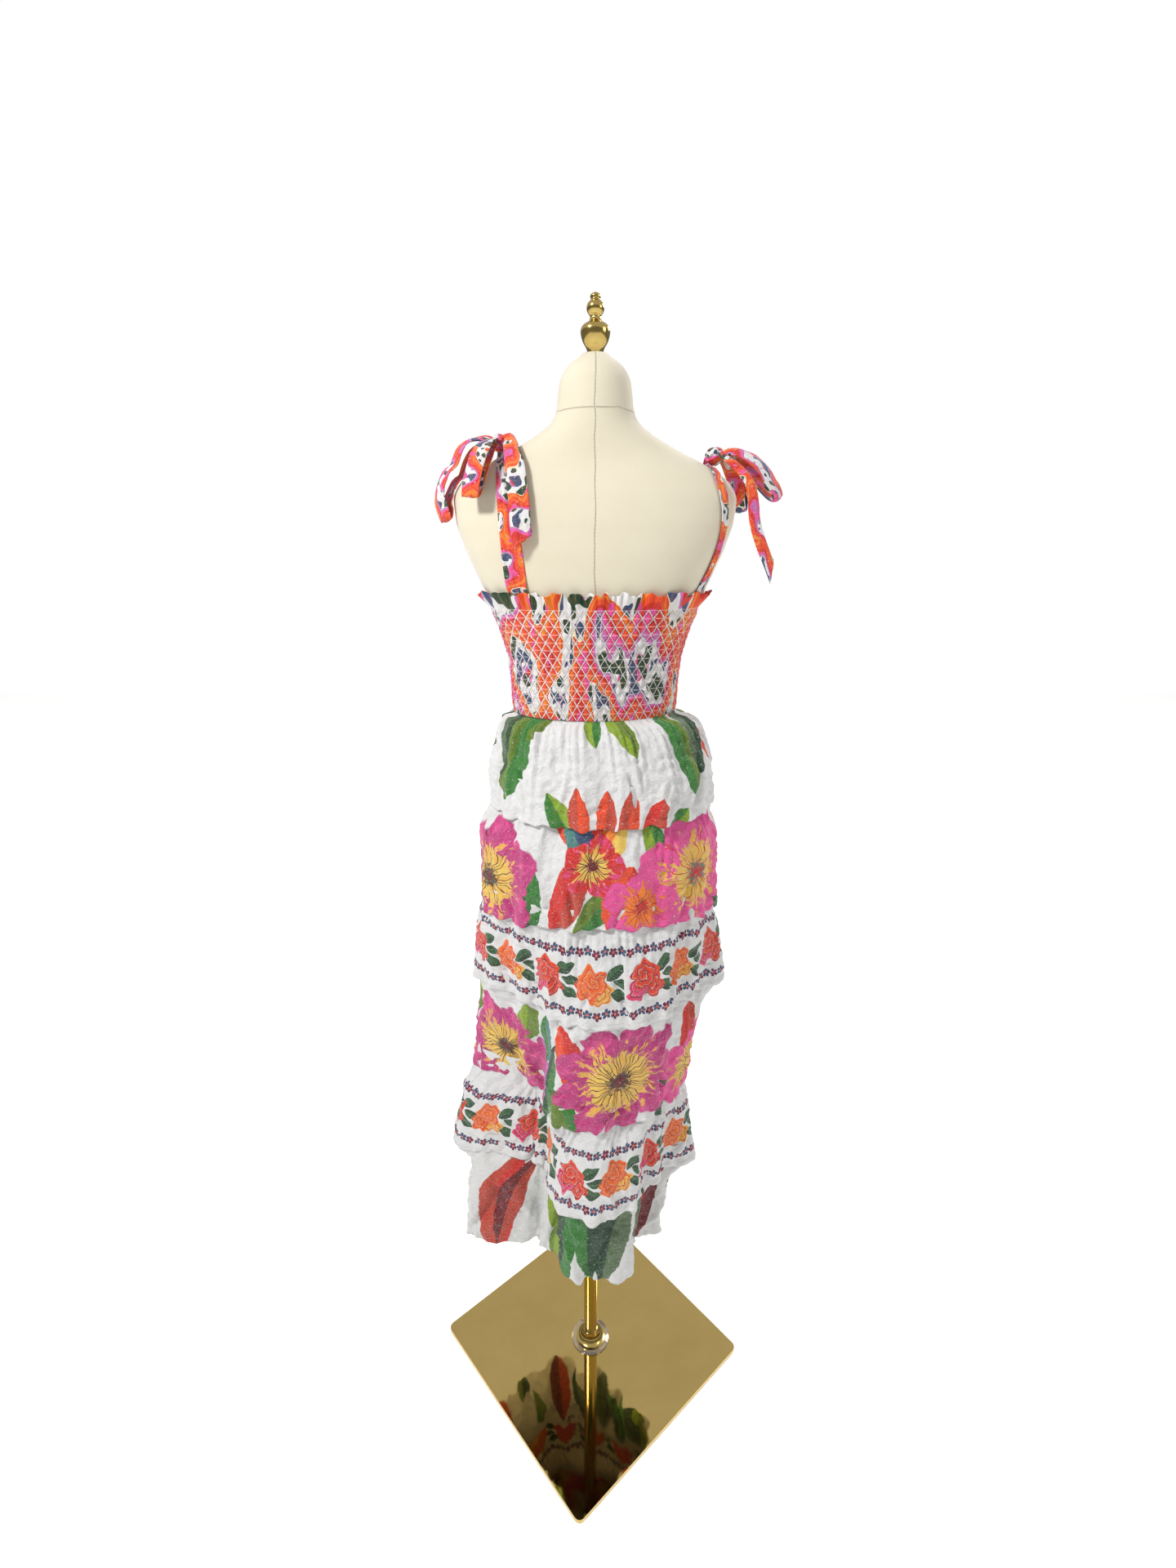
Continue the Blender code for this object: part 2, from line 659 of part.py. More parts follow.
def main():
    clear_scene()
    cream = finish("form_jersey", CREAM, 0.85)
    brass = finish("polished_brass", BRASS, 0.15, 1.0)
    smocked = finish("smocked_print", PRINT_ROSE, 0.85)
    bold = finish("bold_print", PRINT_WHITE, 0.85)
    border = finish("border_print", PRINT_CORAL, 0.85)
    build_stand(brass)
    build_form(cream, brass)
    for side in (BACK, FRONT):
        build_bodice(side, smocked)
    build_skirt({1: bold, 2: bold, 3: border, 4: bold, 5: border, 6: bold})
    build_straps(smocked)


main()
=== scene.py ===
# %% [markdown]
# # A tiered midi dress on a limbless dress form
#
# The CAD part is the fixed frame of this lesson: a stand, a padded form, a smocked bodice, six
# gathered tiers and two tied straps. Here each piece of cloth is cut again as a thin shell on its
# own solid, creased, and printed with a pattern made of shader nodes. All of it is in
# metres, with +Z up. The dress's back faces -Y, which is the side that the camera sees.

# %% Open the imported model
import math

import bmesh
import bpy
import numpy as np
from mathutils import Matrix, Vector, noise
from mathutils.bvhtree import BVHTree


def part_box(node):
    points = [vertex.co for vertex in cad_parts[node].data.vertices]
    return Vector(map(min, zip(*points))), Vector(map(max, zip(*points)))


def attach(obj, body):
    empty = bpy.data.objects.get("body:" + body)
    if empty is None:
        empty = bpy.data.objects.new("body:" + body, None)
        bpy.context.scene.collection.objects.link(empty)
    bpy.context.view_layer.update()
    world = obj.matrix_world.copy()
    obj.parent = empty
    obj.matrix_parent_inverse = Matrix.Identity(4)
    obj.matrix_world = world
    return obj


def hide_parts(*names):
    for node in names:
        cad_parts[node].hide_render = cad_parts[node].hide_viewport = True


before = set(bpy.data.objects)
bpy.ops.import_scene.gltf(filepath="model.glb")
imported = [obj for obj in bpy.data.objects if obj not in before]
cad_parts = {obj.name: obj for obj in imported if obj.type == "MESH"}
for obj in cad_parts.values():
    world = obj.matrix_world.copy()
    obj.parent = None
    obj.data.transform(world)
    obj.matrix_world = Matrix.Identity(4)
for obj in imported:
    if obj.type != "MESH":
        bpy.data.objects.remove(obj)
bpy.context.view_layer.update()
bpy.ops.object.select_all(action="DESELECT")

# %% [markdown]
# ## Camera, floor and light
#
# The camera stands at chest height behind the dress and looks a little down, so the plate on the
# floor shows as a large diamond. A wide lens this near makes the hem look small, as it should. The
# light is a soft white room. The main lamp is above on the left, a weak one fills from the right,
# one behind gives the edges a rim, and the white ceiling is what the mirror plate reflects.

# %% The camera
CAMERA_PLACE = (-0.0047, -0.9415, 1.376)
CAMERA_DOWN = 17.15
CAMERA_LENS = 16.04

bpy.ops.object.camera_add(location=CAMERA_PLACE, rotation=(math.radians(90 - CAMERA_DOWN), 0, 0))
camera = bpy.context.object
camera.data.lens = CAMERA_LENS
camera.data.clip_start = 0.02
bpy.context.scene.camera = camera
print("camera at", CAMERA_PLACE)

# %% The floor and the lights
FLOOR_SIDE = 14.0
FLOOR_PAINT = (0.90, 0.90, 0.89, 1)
ROOM_LIGHT = 0.22
ROOM_TINT = (1.0, 0.985, 0.96, 1)
# The floor glows more where it is far away, so its far edge is as white as the room.
FLOOR_GLOW = {"From Min": 1.6, "From Max": 5.0, "To Min": 0.36, "To Max": 0.60}
LAMPS = (
    # name, place, aimed at, size, watts
    ("lamp_above_left", (-1.5, -1.3, 2.9), (0, 0, 1.0), 0.45, 58),
    ("lamp_right", (2.3, -0.7, 2.1), (0, 0, 0.9), 0.9, 10),
    ("lamp_behind", (1.9, 1.9, 2.8), (0, 0, 1.0), 0.8, 40),
    ("white_ceiling", (0, 1.0, 5.0), (0, 1.001, 0), 18.0, 400),
)


def pale_room():
    """A white room: a plain floor and an even white world."""
    bpy.ops.mesh.primitive_plane_add(size=FLOOR_SIDE, location=(0, 0, 0))
    floor = bpy.context.object
    floor.name = "floor"
    paint = bpy.data.materials.new("floor_paint")
    paint.use_nodes = True
    surface = paint.node_tree.nodes["Principled BSDF"]
    surface.inputs["Base Color"].default_value = FLOOR_PAINT
    surface.inputs["Roughness"].default_value = 0.9
    surface.inputs["Emission Color"].default_value = (1.0, 1.0, 1.0, 1)
    far = paint.node_tree.nodes.new("ShaderNodeVectorMath")
    far.operation = "LENGTH"
    ramp = paint.node_tree.nodes.new("ShaderNodeMapRange")
    for name, value in FLOOR_GLOW.items():
        ramp.inputs[name].default_value = value
    place = paint.node_tree.nodes.new("ShaderNodeNewGeometry")
    paint.node_tree.links.new(place.outputs["Position"], far.inputs[0])
    paint.node_tree.links.new(far.outputs["Value"], ramp.inputs["Value"])
    paint.node_tree.links.new(ramp.outputs["Result"], surface.inputs["Emission Strength"])
    floor.data.materials.append(paint)
    world = bpy.data.worlds.new("white_room")
    world.use_nodes = True
    tree = world.node_tree
    light = tree.nodes["Background"]
    light.inputs["Color"].default_value = ROOM_TINT
    light.inputs["Strength"].default_value = ROOM_LIGHT
    seen = tree.nodes.new("ShaderNodeBackground")
    seen.inputs["Color"].default_value = (1.0, 1.0, 1.0, 1)
    seen.inputs["Strength"].default_value = 1.0
    by_camera = tree.nodes.new("ShaderNodeLightPath")
    either = tree.nodes.new("ShaderNodeMixShader")
    tree.links.new(by_camera.outputs["Is Camera Ray"], either.inputs[0])
    tree.links.new(light.outputs[0], either.inputs[1])
    tree.links.new(seen.outputs[0], either.inputs[2])
    tree.links.new(either.outputs[0], tree.nodes["World Output"].inputs["Surface"])
    bpy.context.scene.world = world
    bpy.context.scene.view_settings.view_transform = "Standard"


pale_room()
for name, place, target, size, watts in LAMPS:
    aim = (Vector(target) - Vector(place)).to_track_quat("-Z", "Y").to_euler()
    bpy.ops.object.light_add(type="AREA", location=place, rotation=aim)
    bpy.context.object.name = name
    bpy.context.object.data.size = size
    bpy.context.object.data.energy = watts
print(len(LAMPS), "lamps")

# %% [markdown]
# ## Wiring materials with short helpers
#
# A printed cloth is a long chain of small sums. These helpers add one node and hand back its
# output as a wire, and wires can be added, multiplied and compared as numbers are, which adds Math
# nodes. So a pattern reads from top to bottom like a recipe. The effects that several finishes
# share are node groups: each is built once and placed with its own numbers.

# %% Node helpers
NUMBER, VECTOR = "NodeSocketFloat", "NodeSocketVector"


def add(tree, kind, **settings):
    """One node, with its settings."""
    node = tree.nodes.new(kind)
    for name, value in settings.items():
        setattr(node, name, value)
    return node


class Wire:
    """A node's output that can be reckoned with: each sum adds a Math node to the same tree."""

    def __init__(self, socket):
        self.socket = socket
        self.tree = socket.id_data

    __add__ = lambda a, b: maths("ADD", a, b)
    __radd__ = lambda a, b: maths("ADD", b, a)
    __sub__ = lambda a, b: maths("SUBTRACT", a, b)
    __rsub__ = lambda a, b: maths("SUBTRACT", b, a)
    __mul__ = lambda a, b: maths("MULTIPLY", a, b)
    __rmul__ = lambda a, b: maths("MULTIPLY", b, a)
    __truediv__ = lambda a, b: maths("DIVIDE", a, b)
    __rtruediv__ = lambda a, b: maths("DIVIDE", b, a)
    __pow__ = lambda a, b: maths("POWER", a, b)
    __mod__ = lambda a, b: maths("FLOORED_MODULO", a, b)
    __gt__ = lambda a, b: maths("GREATER_THAN", a, b)
    __lt__ = lambda a, b: maths("LESS_THAN", a, b)
    __abs__ = lambda a: maths("ABSOLUTE", a)


def plug(socket, value):
    """Puts a number, a colour or a node's output into a socket."""
    source = value.socket if isinstance(value, Wire) else value
    if isinstance(source, bpy.types.NodeSocket):
        socket.id_data.links.new(source, socket)
    elif socket.type == "RGBA":
        socket.default_value = (*value, 1.0)
    else:
        socket.default_value = value


def maths(operation, *values):
    """A Math node in the tree of the wires that it reads."""
    tree = next(value.tree for value in values if isinstance(value, Wire))
    node = add(tree, "ShaderNodeMath", operation=operation)
    for socket, value in zip(node.inputs, values):
        plug(socket, value)
    return Wire(node.outputs[0])


def clipped(wire):
    """The sum just made, held between 0 and 1."""
    wire.socket.node.use_clamp = True
    return wire


def blend_colours(mask, under, over, how="MIX"):
    """Lays one colour over another where the mask is 1."""
    node = add(mask.tree, "ShaderNodeMix", data_type="RGBA", blend_type=how, clamp_factor=True)
    for place, value in ((0, mask), (6, under), (7, over)):
        plug(node.inputs[place], value)
    return Wire(node.outputs[2])


def split(vector, count=2):
    """The first parts of a vector."""
    node = add(vector.tree, "ShaderNodeSeparateXYZ")
    plug(node.inputs[0], vector)
    return [Wire(part) for part in node.outputs[:count]]


def join(x, y):
    """A vector from two parts."""
    node = add(x.tree, "ShaderNodeCombineXYZ")
    plug(node.inputs[0], x)
    plug(node.inputs[1], y)
    return Wire(node.outputs[0])


def rough_noise(vector, scale, detail=2.0, roughness=0.5):
    """Soft noise with a mean of about 0.5."""
    node = add(vector.tree, "ShaderNodeTexNoise")
    plug(node.inputs["Vector"], vector)
    node.inputs["Scale"].default_value = scale
    node.inputs["Detail"].default_value = detail
    node.inputs["Roughness"].default_value = roughness
    return Wire(node.outputs["Fac"])


def stretched(vector, x, y, z=1.0):
    """Coordinates multiplied in each direction, which draws out what reads them."""
    node = add(vector.tree, "ShaderNodeMapping")
    plug(node.inputs["Vector"], vector)
    node.inputs["Scale"].default_value = (x, y, z)
    return Wire(node.outputs[0])


def new_group(name, takes, gives):
    """An empty node group with named inputs and outputs."""
    tree = bpy.data.node_groups.new(name, "ShaderNodeTree")
    for label, kind in takes:
        tree.interface.new_socket(label, in_out="INPUT", socket_type=kind)
    for label in gives:
        tree.interface.new_socket(label, in_out="OUTPUT", socket_type=NUMBER)
    start, end = tree.nodes.new("NodeGroupInput"), tree.nodes.new("NodeGroupOutput")
    return tree, {socket.name: Wire(socket) for socket in start.outputs}, end.inputs


def place_group(group, **values):
    """A group placed in the tree that its cloth coordinates come from."""
    node = add(values["Cloth"].tree, "ShaderNodeGroup", node_tree=group)
    for name, value in values.items():
        plug(node.inputs[name], value)
    return {socket.name: Wire(socket) for socket in node.outputs}


def new_material(name, **settings):
    """A material and its shader. Settings are named as the sockets are, with underscores."""
    made = bpy.data.materials.new(name)
    made.use_nodes = True
    surface = made.node_tree.nodes["Principled BSDF"]
    for label, value in settings.items():
        plug(surface.inputs[label.replace("_", " ")], value)
    return made, surface


def coordinates(material, kind, output, **settings):
    """The coordinates that a material's pattern reads."""
    return Wire(add(material.node_tree, kind, **settings).outputs[output])


def bumped(surface, height, strength=1.0):
    """Gives the shader a height in metres to shade by."""
    node = add(height.tree, "ShaderNodeBump")
    plug(node.inputs["Strength"], strength)
    plug(node.inputs["Distance"], 1.0)
    plug(node.inputs["Height"], height)
    plug(surface.inputs["Normal"], node.outputs[0])


# %% [markdown]
# ## The voile itself
#
# The skirt is cotton voile: a loose plain weave with small raised dots in staggered rows and, after
# washing, a net of fine creases. The group reads flat cloth coordinates in metres, so the dots keep
# their spacing on every tier. It puts out a height for the bump, a mask for the dots, and a mask
# for painted shade along the fine creases.

# %% A group for voile
HEM_TURN = 0.007
STITCH_WIDTH = 0.0008
DOT_STEP = 0.0150
DOT_SIZE = 0.0012


def voile_group():
    """Height of folds, weave and dots, a mask of the dots, and nearness to a fold for painted
    shade.
    """
    tree, take, give = new_group("voile", [("Cloth", VECTOR)], ["Height", "Dots", "Shade"])
    cloth = take["Cloth"]
    across, up = split(cloth)
    row = up / DOT_STEP
    odd = maths("FLOOR", row) % 2.0 * 0.5
    column = across / DOT_STEP + odd
    x = maths("FRACT", column) - 0.5
    y = (maths("FRACT", row) - 0.5) * 1.5
    apart = maths("SQRT", x * x + y * y)
    edge = DOT_SIZE / DOT_STEP - apart
    dots = clipped(edge * 40.0)
    warp = rough_noise(stretched(cloth, 2600, 300), 1.0, 1.0)
    weft = rough_noise(stretched(cloth, 300, 2600), 1.0, 1.0)
    weave = warp + weft
    folds = rough_noise(stretched(cloth, 60, 95), 1.0, 4.0, 0.62)
    ridged = abs(folds - 0.5)
    finer = rough_noise(stretched(cloth, 240, 170), 1.0, 3.0, 0.6)
    height = ridged * -0.0046
    height = height + finer * 0.0011
    height = height + weave * 0.00006
    height = height + dots * 0.0004
    plug(give["Height"], height)
    plug(give["Dots"], dots)
    # Shade is 0 on the fine creases and 1 away from them, and it sets painted shade along the
    # creases.
    plug(give["Shade"], clipped(ridged * 3.0))
    return tree


VOILE = voile_group()
print("voile group:", len(VOILE.nodes), "nodes")

# %% [markdown]
# ## Motifs as node groups
#
# The print is big leaves, open blooms, roses and small flowers. Each motif is a group that measures
# how far a point of the cloth is from the motif's centre line or centre, and turns that into masks.
# The shapes stay sharp at any distance, which a picture of this size could not do, and one group
# serves every leaf. The design is a plain one of its own: ordinary leaves and flowers, set out one
# by one for each tier.

# %% Where a point lies from a motif's centre
def local_point(take):
    """The point as seen from the motif: moved to its centre and turned back."""
    moved = add(take["Cloth"].tree, "ShaderNodeVectorMath", operation="SUBTRACT")
    plug(moved.inputs[0], take["Cloth"])
    plug(moved.inputs[1], join(take["Across"], take["Up"]))
    turned = add(take["Cloth"].tree, "ShaderNodeVectorRotate", rotation_type="Z_AXIS", invert=True)
    plug(turned.inputs["Vector"], moved.outputs[0])
    plug(turned.inputs["Angle"], take["Turn"])
    return Wire(turned.outputs[0])


def polar(point, wobble, scale):
    """Distance from the centre and the angle round it, with an uneven hand-painted edge."""
    x, y = split(point)
    far = maths("SQRT", x * x + y * y)
    uneven = rough_noise(point, scale, 2.0) - 0.5
    far = far * (1.0 + uneven * wobble)
    return far, maths("ARCTAN2", y, x)


PLACED = [("Cloth", VECTOR), ("Across", NUMBER), ("Up", NUMBER), ("Turn", NUMBER)]


# %% A leaf
def leaf_group():
    """A pointed leaf that starts at its centre: its mask, its darker half and its veins."""
    tree, take, give = new_group(
        "leaf", PLACED + [("Length", NUMBER), ("Width", NUMBER), ("Bend", NUMBER)],
        ["Mask", "Half", "Veins"],
    )
    point = local_point(take)
    x, y = split(point)
    x = x / take["Length"]
    y = y / take["Width"]
    hump = x * (1.0 - x) * 4.0
    hump = maths("MAXIMUM", hump, 0.0)
    y = y - hump * take["Bend"]
    side = abs(y)
    uneven = rough_noise(point, 70, 2.0) - 0.5
    wide = hump ** 0.8 + uneven * 0.30
    mask = clipped((wide - (side + 0.06)) * 26.0)
    inside = (x > 0.0) * (x < 1.0)
    mask = mask * inside
    slant = x - side * 0.16
    ribs = maths("PINGPONG", slant * 8.0, 0.5) < 0.055
    middle = side < (1.05 - x) * 0.07
    plug(give["Mask"], mask)
    plug(give["Half"], clipped(y * 14.0 + 0.5))
    plug(give["Veins"], maths("MAXIMUM", ribs, middle) * mask)
    return tree


# %% An open bloom
def bloom_group():
    """Long petals round a centre: the mask, how far out a point is, and thin painted lines."""
    tree, take, give = new_group(
        "bloom", PLACED + [("Radius", NUMBER), ("Petals", NUMBER), ("Notch", NUMBER)],
        ["Mask", "Reach", "Lines", "Gap", "Streak"],
    )
    point = local_point(take)
    far, angle = polar(point, 0.16, 60.0)
    count = angle * take["Petals"] / (2 * math.pi)
    jitter = rough_noise(point, 45.0, 1.0) - 0.5
    count = count + jitter * 0.55
    from_middle = maths("PINGPONG", count, 0.5)
    tip = (1.0 - from_middle * 1.96) ** 0.55
    long = 1.0 - take["Notch"] + tip * take["Notch"]
    reach = far / (long * take["Radius"])
    mask = clipped((1.0 - reach) * 26.0)
    turn_step = 2 * math.pi / take["Petals"]
    third = maths("PINGPONG", count * 3.0, 0.5) / 3.0
    off_line = third * turn_step * far
    lines = (off_line < 0.0006) * mask
    off_gap = (0.5 - from_middle) * turn_step * far
    plug(give["Mask"], mask)
    plug(give["Reach"], far / take["Radius"])
    plug(give["Lines"], lines)
    plug(give["Gap"], (off_gap < 0.0008) * mask)
    rays = rough_noise(join(count * 4.5, far * 22.0), 1.0, 2.0, 0.6)
    plug(give["Streak"], clipped((rays - 0.50) * 9.0))
    return tree


# %% A rose
def rose_group():
    """A full rose of five outer petals with a spiral of painted petal edges."""
    tree, take, give = new_group("rose", PLACED + [("Size", NUMBER)], ["Mask", "Tone", "Lines"])
    point = local_point(take)
    far, angle = polar(point, 0.22, 110.0)
    lobes = maths("COSINE", angle * 5.0)
    small = maths("COSINE", angle * 9.0 + 1.0)
    edge = 0.90 + lobes * 0.13
    edge = edge + small * 0.05
    reach = far / (edge * take["Size"])
    turns = angle / (2 * math.pi)
    bumpy = rough_noise(point, 160.0, 2.0) * 0.9
    spiral = reach * 2.4 + (turns + bumpy)
    ring = maths("FRACT", spiral)
    mask = clipped((1.0 - reach) * 22.0)
    plug(give["Mask"], mask)
    plug(give["Tone"], ring)
    plug(give["Lines"], (ring < 0.17) * mask)
    return tree


# %% A row of small flowers
def flower_row_group():
    """Small five-petalled flowers along the cloth, in two colours by turns, with coral hearts."""
    tree, take, give = new_group(
        "flower_row", [("Cloth", VECTOR), ("Up", NUMBER), ("Step", NUMBER), ("Size", NUMBER)],
        ["Mask", "Second", "Heart"],
    )
    across, up = split(take["Cloth"])
    cell = across / take["Step"]
    index = maths("FLOOR", cell)
    second = index % 2.0
    x = (maths("FRACT", cell) - 0.5) * take["Step"]
    y = up - (take["Up"] + second * 0.0016)
    far = maths("SQRT", x * x + y * y)
    angle = maths("ARCTAN2", y, x) + index * 1.9
    petals = abs(maths("COSINE", angle * 2.5)) ** 0.42
    edge = take["Size"] * (0.25 + petals * 0.75)
    mask = clipped((edge - far) * 3500.0)
    plug(give["Mask"], mask)
    plug(give["Second"], second)
    plug(give["Heart"], far < take["Size"] * 0.26)
    return tree


LEAF, BLOOM, ROSE, FLOWER_ROW = leaf_group(), bloom_group(), rose_group(), flower_row_group()
print("motif groups:", [len(group.nodes) for group in (LEAF, BLOOM, ROSE, FLOWER_ROW)], "nodes")

# %% [markdown]
# ## The colours of the print
#
# The dyes are strong on a white ground: magenta, hot pink, orange-red, yellow, and greens from lime
# to bottle. They are kept here as a small paint box, in linear light, for every pattern to use.

# %% The paint box
WHITE = (0.74, 0.74, 0.735)
CREAM = (0.80, 0.72, 0.46)
MAGENTA = (0.50, 0.035, 0.19)
HOT_PINK = (0.78, 0.075, 0.30)
LILAC = (0.50, 0.15, 0.42)
RED = (0.62, 0.022, 0.016)
BRICK = (0.50, 0.055, 0.028)
ORANGE_RED = (0.78, 0.068, 0.014)
ORANGE = (0.82, 0.20, 0.015)
YELLOW = (0.80, 0.55, 0.10)
LIME = (0.24, 0.37, 0.015)
OLIVE = (0.13, 0.21, 0.016)
GREEN = (0.03, 0.19, 0.025)
BOTTLE = (0.013, 0.055, 0.022)
SAGE = (0.10, 0.16, 0.075)
TEAL = (0.07, 0.22, 0.20)
SLATE = (0.035, 0.065, 0.15)
PLUM = (0.13, 0.008, 0.055)
MAROON = (0.14, 0.010, 0.014)


def start_cloth(name):
    """A material with its shader, ready for a pattern, and the flat cloth coordinates it reads."""
    made, surface = new_material(
        name, Roughness=0.86, Sheen_Weight=0.18, Sheen_Roughness=0.55, Specular_IOR_Level=0.25,
    )
    return made, surface, coordinates(made, "ShaderNodeUVMap", 0, uv_map="cloth")


def finish_cloth(surface, cloth, colour, bump=1.0):
    """The voile's dots, creases and weave over a printed colour, with painted shade along the
    creases.
    """
    voile = place_group(VOILE, Cloth=cloth)
    up = split(cloth)[1]
    # A darker line along the hem's stitching: the stitch line itself, and painted shade of the dent
    # it makes.
    from_stitch = abs(up - HEM_TURN)
    stitch = clipped(1.0 - from_stitch / STITCH_WIDTH)
    colour = blend_colours(stitch * 0.22, colour, (0.30, 0.28, 0.28))
    colour = blend_colours(voile["Dots"] * 0.5, colour, WHITE)
    worn = rough_noise(cloth, 420.0, 2.0)
    faded = clipped((worn - 0.45) * 0.5)
    colour = blend_colours(faded, colour, WHITE)
    # Painted shade: the colour is darkened along the fine creases.
    shaded = (1.0 - voile["Shade"]) * 0.16
    colour = blend_colours(shaded, colour, (0.25, 0.22, 0.22), "MULTIPLY")
    plug(surface.inputs["Base Color"], colour)
    bumped(surface, voile["Height"], bump)


def streaks(cloth, across, up, strength):
    """Noise drawn out in one direction: brush marks in the print, and streaks of painted shade on
    the ground.
    """
    brushed = rough_noise(stretched(cloth, across, up), 1.0, 3.0, 0.6)
    return clipped((brushed - 0.5) * strength)


# %% Painting leaves and blooms from a table
def paint_leaves(cloth, colour, leaves):
    """Each leaf has a light and a dark half, and veins that show the ground."""
    for across, up, turn, length, width, bend, light, dark in leaves:
        leaf = place_group(
            LEAF, Cloth=cloth, Across=across, Up=up, Turn=math.radians(turn), Length=length,
            Width=width, Bend=bend,
        )
        halves = blend_colours(leaf["Half"], light, dark)
        halves = blend_colours(streaks(cloth, 90, 240, 1.6), halves, light)
        halves = blend_colours(leaf["Veins"] * 0.45, halves, dark)
        colour = blend_colours(leaf["Mask"], colour, halves)
    return colour


def paint_blooms(cloth, colour, blooms):
    """Each bloom runs from a dark heart through an inner colour to its petals' tips."""
    for across, up, turn, radius, petals, notch, heart, inner, outer, line in blooms:
        bloom = place_group(
            BLOOM, Cloth=cloth, Across=across, Up=up, Turn=math.radians(turn), Radius=radius,
            Petals=float(petals), Notch=notch,
        )
        ragged = rough_noise(stretched(cloth, 160, 160), 1.0, 3.0, 0.7)
        inside = bloom["Reach"] + (ragged - 0.5) * 0.55
        petal = blend_colours(bloom["Streak"] * 0.75, outer, HOT_PINK)
        spiked = inside - bloom["Streak"] * 0.22
        zone = clipped((0.46 - spiked) * 16.0)
        petal = blend_colours(zone, petal, blend_colours(bloom["Streak"] * 0.35, inner, ORANGE))
        middle = clipped((0.19 - inside) * 14.0)
        petal = blend_colours(middle, petal, heart)
        petal = blend_colours(bloom["Lines"] * zone, petal, line)
        petal = blend_colours(bloom["Gap"] * 0.7, petal, line)
        colour = blend_colours(bloom["Mask"], colour, petal)
    return colour


# %% [markdown]
# ## Five printed cloths
#
# A tier is cut from one of five cloths. The tables place each motif in metres: across from the
# left side seam, and up from the hem. The front half of the dress reads the same tables further
# along the cloth, so no two places on the dress are quite alike.

# %% Cloth for the leafy, bloom and dusk tiers
PRINT_REPEAT = 0.50
LEAFY_LEAVES = (
    # across, up, turn in degrees, length, half width, bend, light, dark
    (0.090, 0.165, -98, 0.150, 0.030, 0.25, OLIVE, GREEN),
    (0.150, 0.162, -128, 0.080, 0.017, -0.20, GREEN, OLIVE),
    (0.045, 0.165, -80, 0.120, 0.014, 0.35, SAGE, BOTTLE),
    (0.020, 0.160, -104, 0.100, 0.012, -0.35, BOTTLE, SAGE),
    (0.235, 0.162, -62, 0.085, 0.019, 0.25, LIME, OLIVE),
    (0.222, 0.160, -96, 0.062, 0.016, -0.20, LIME, GREEN),
    (0.205, 0.162, -140, 0.050, 0.014, -0.20, OLIVE, LIME),
    (0.345, 0.165, -84, 0.140, 0.024, 0.25, GREEN, OLIVE),
    (0.372, 0.162, -66, 0.110, 0.013, 0.30, ORANGE_RED, BRICK),
    (0.420, 0.165, -112, 0.120, 0.020, -0.25, SAGE, BOTTLE),
    (0.180, -0.020, 118, 0.070, 0.018, -0.20, LIME, GREEN),
    (0.200, -0.024, 98, 0.078, 0.015, 0.15, ORANGE_RED, BRICK),
    (0.222, -0.024, 84, 0.074, 0.014, -0.15, BRICK, ORANGE_RED),
    (0.246, -0.024, 76, 0.080, 0.015, -0.20, ORANGE_RED, BRICK),
    (0.272, -0.024, 62, 0.070, 0.014, -0.25, BRICK, RED),
    (0.300, -0.020, 40, 0.060, 0.013, -0.30, LIME, GREEN),
    (0.460, -0.016, 96, 0.060, 0.016, 0.20, HOT_PINK, MAGENTA),
)
BLOOM_LEAVES = (
    (0.150, -0.014, 96, 0.120, 0.024, 0.15, GREEN, BOTTLE),
    (0.176, -0.014, 72, 0.130, 0.024, -0.20, BRICK, RED),
    (0.205, -0.014, 54, 0.120, 0.020, -0.20, GREEN, OLIVE),
    (0.165, 0.150, -30, 0.110, 0.024, 0.20, ORANGE_RED, RED),
    (0.185, 0.160, -62, 0.090, 0.020, 0.20, TEAL, SLATE),
    (0.268, 0.150, -120, 0.090, 0.022, 0.15, ORANGE, YELLOW),
    (0.262, -0.014, 78, 0.110, 0.026, 0.15, RED, ORANGE_RED),
    (0.300, 0.150, -70, 0.080, 0.018, 0.15, LIME, GREEN),
    (0.455, -0.014, 98, 0.130, 0.022, 0.20, GREEN, BOTTLE),
    (0.480, 0.150, -84, 0.120, 0.022, 0.20, ORANGE_RED, BRICK),
    (0.012, -0.014, 84, 0.120, 0.020, 0.20, TEAL, BOTTLE),
)
BLOOMS = (
    # across, up, turn, radius, petals, notch, heart, inner, outer, line
    (0.072, 0.060, 20, 0.092, 6, 0.30, BOTTLE, YELLOW, MAGENTA, MAROON),
    (0.385, 0.070, 50, 0.098, 6, 0.28, TEAL, YELLOW, HOT_PINK, RED),
    (0.298, 0.030, 10, 0.056, 5, 0.30, MAROON, ORANGE, HOT_PINK, RED),
    (0.232, 0.088, 0, 0.044, 5, 0.32, MAROON, YELLOW, RED, MAROON),
)
WIDE_LEAVES = (
    (0.165, -0.014, 84, 0.150, 0.024, 0.20, GREEN, BOTTLE),
    (0.140, -0.014, 98, 0.130, 0.020, -0.25, LILAC, MAGENTA),
    (0.186, 0.175, -72, 0.120, 0.022, 0.20, ORANGE_RED, RED),
    (0.150, 0.175, -96, 0.100, 0.020, 0.20, GREEN, TEAL),
    (0.115, 0.175, -100, 0.080, 0.018, 0.20, LIME, OLIVE),
    (0.225, -0.014, 110, 0.090, 0.022, 0.20, GREEN, OLIVE),
    (0.360, -0.014, 74, 0.110, 0.022, 0.20, GREEN, BOTTLE),
    (0.400, 0.175, -84, 0.110, 0.022, 0.20, RED, BRICK),
    (0.472, -0.014, 94, 0.150, 0.020, 0.20, ORANGE_RED, BRICK),
    (0.492, 0.175, -84, 0.090, 0.018, 0.20, GREEN, BOTTLE),
)
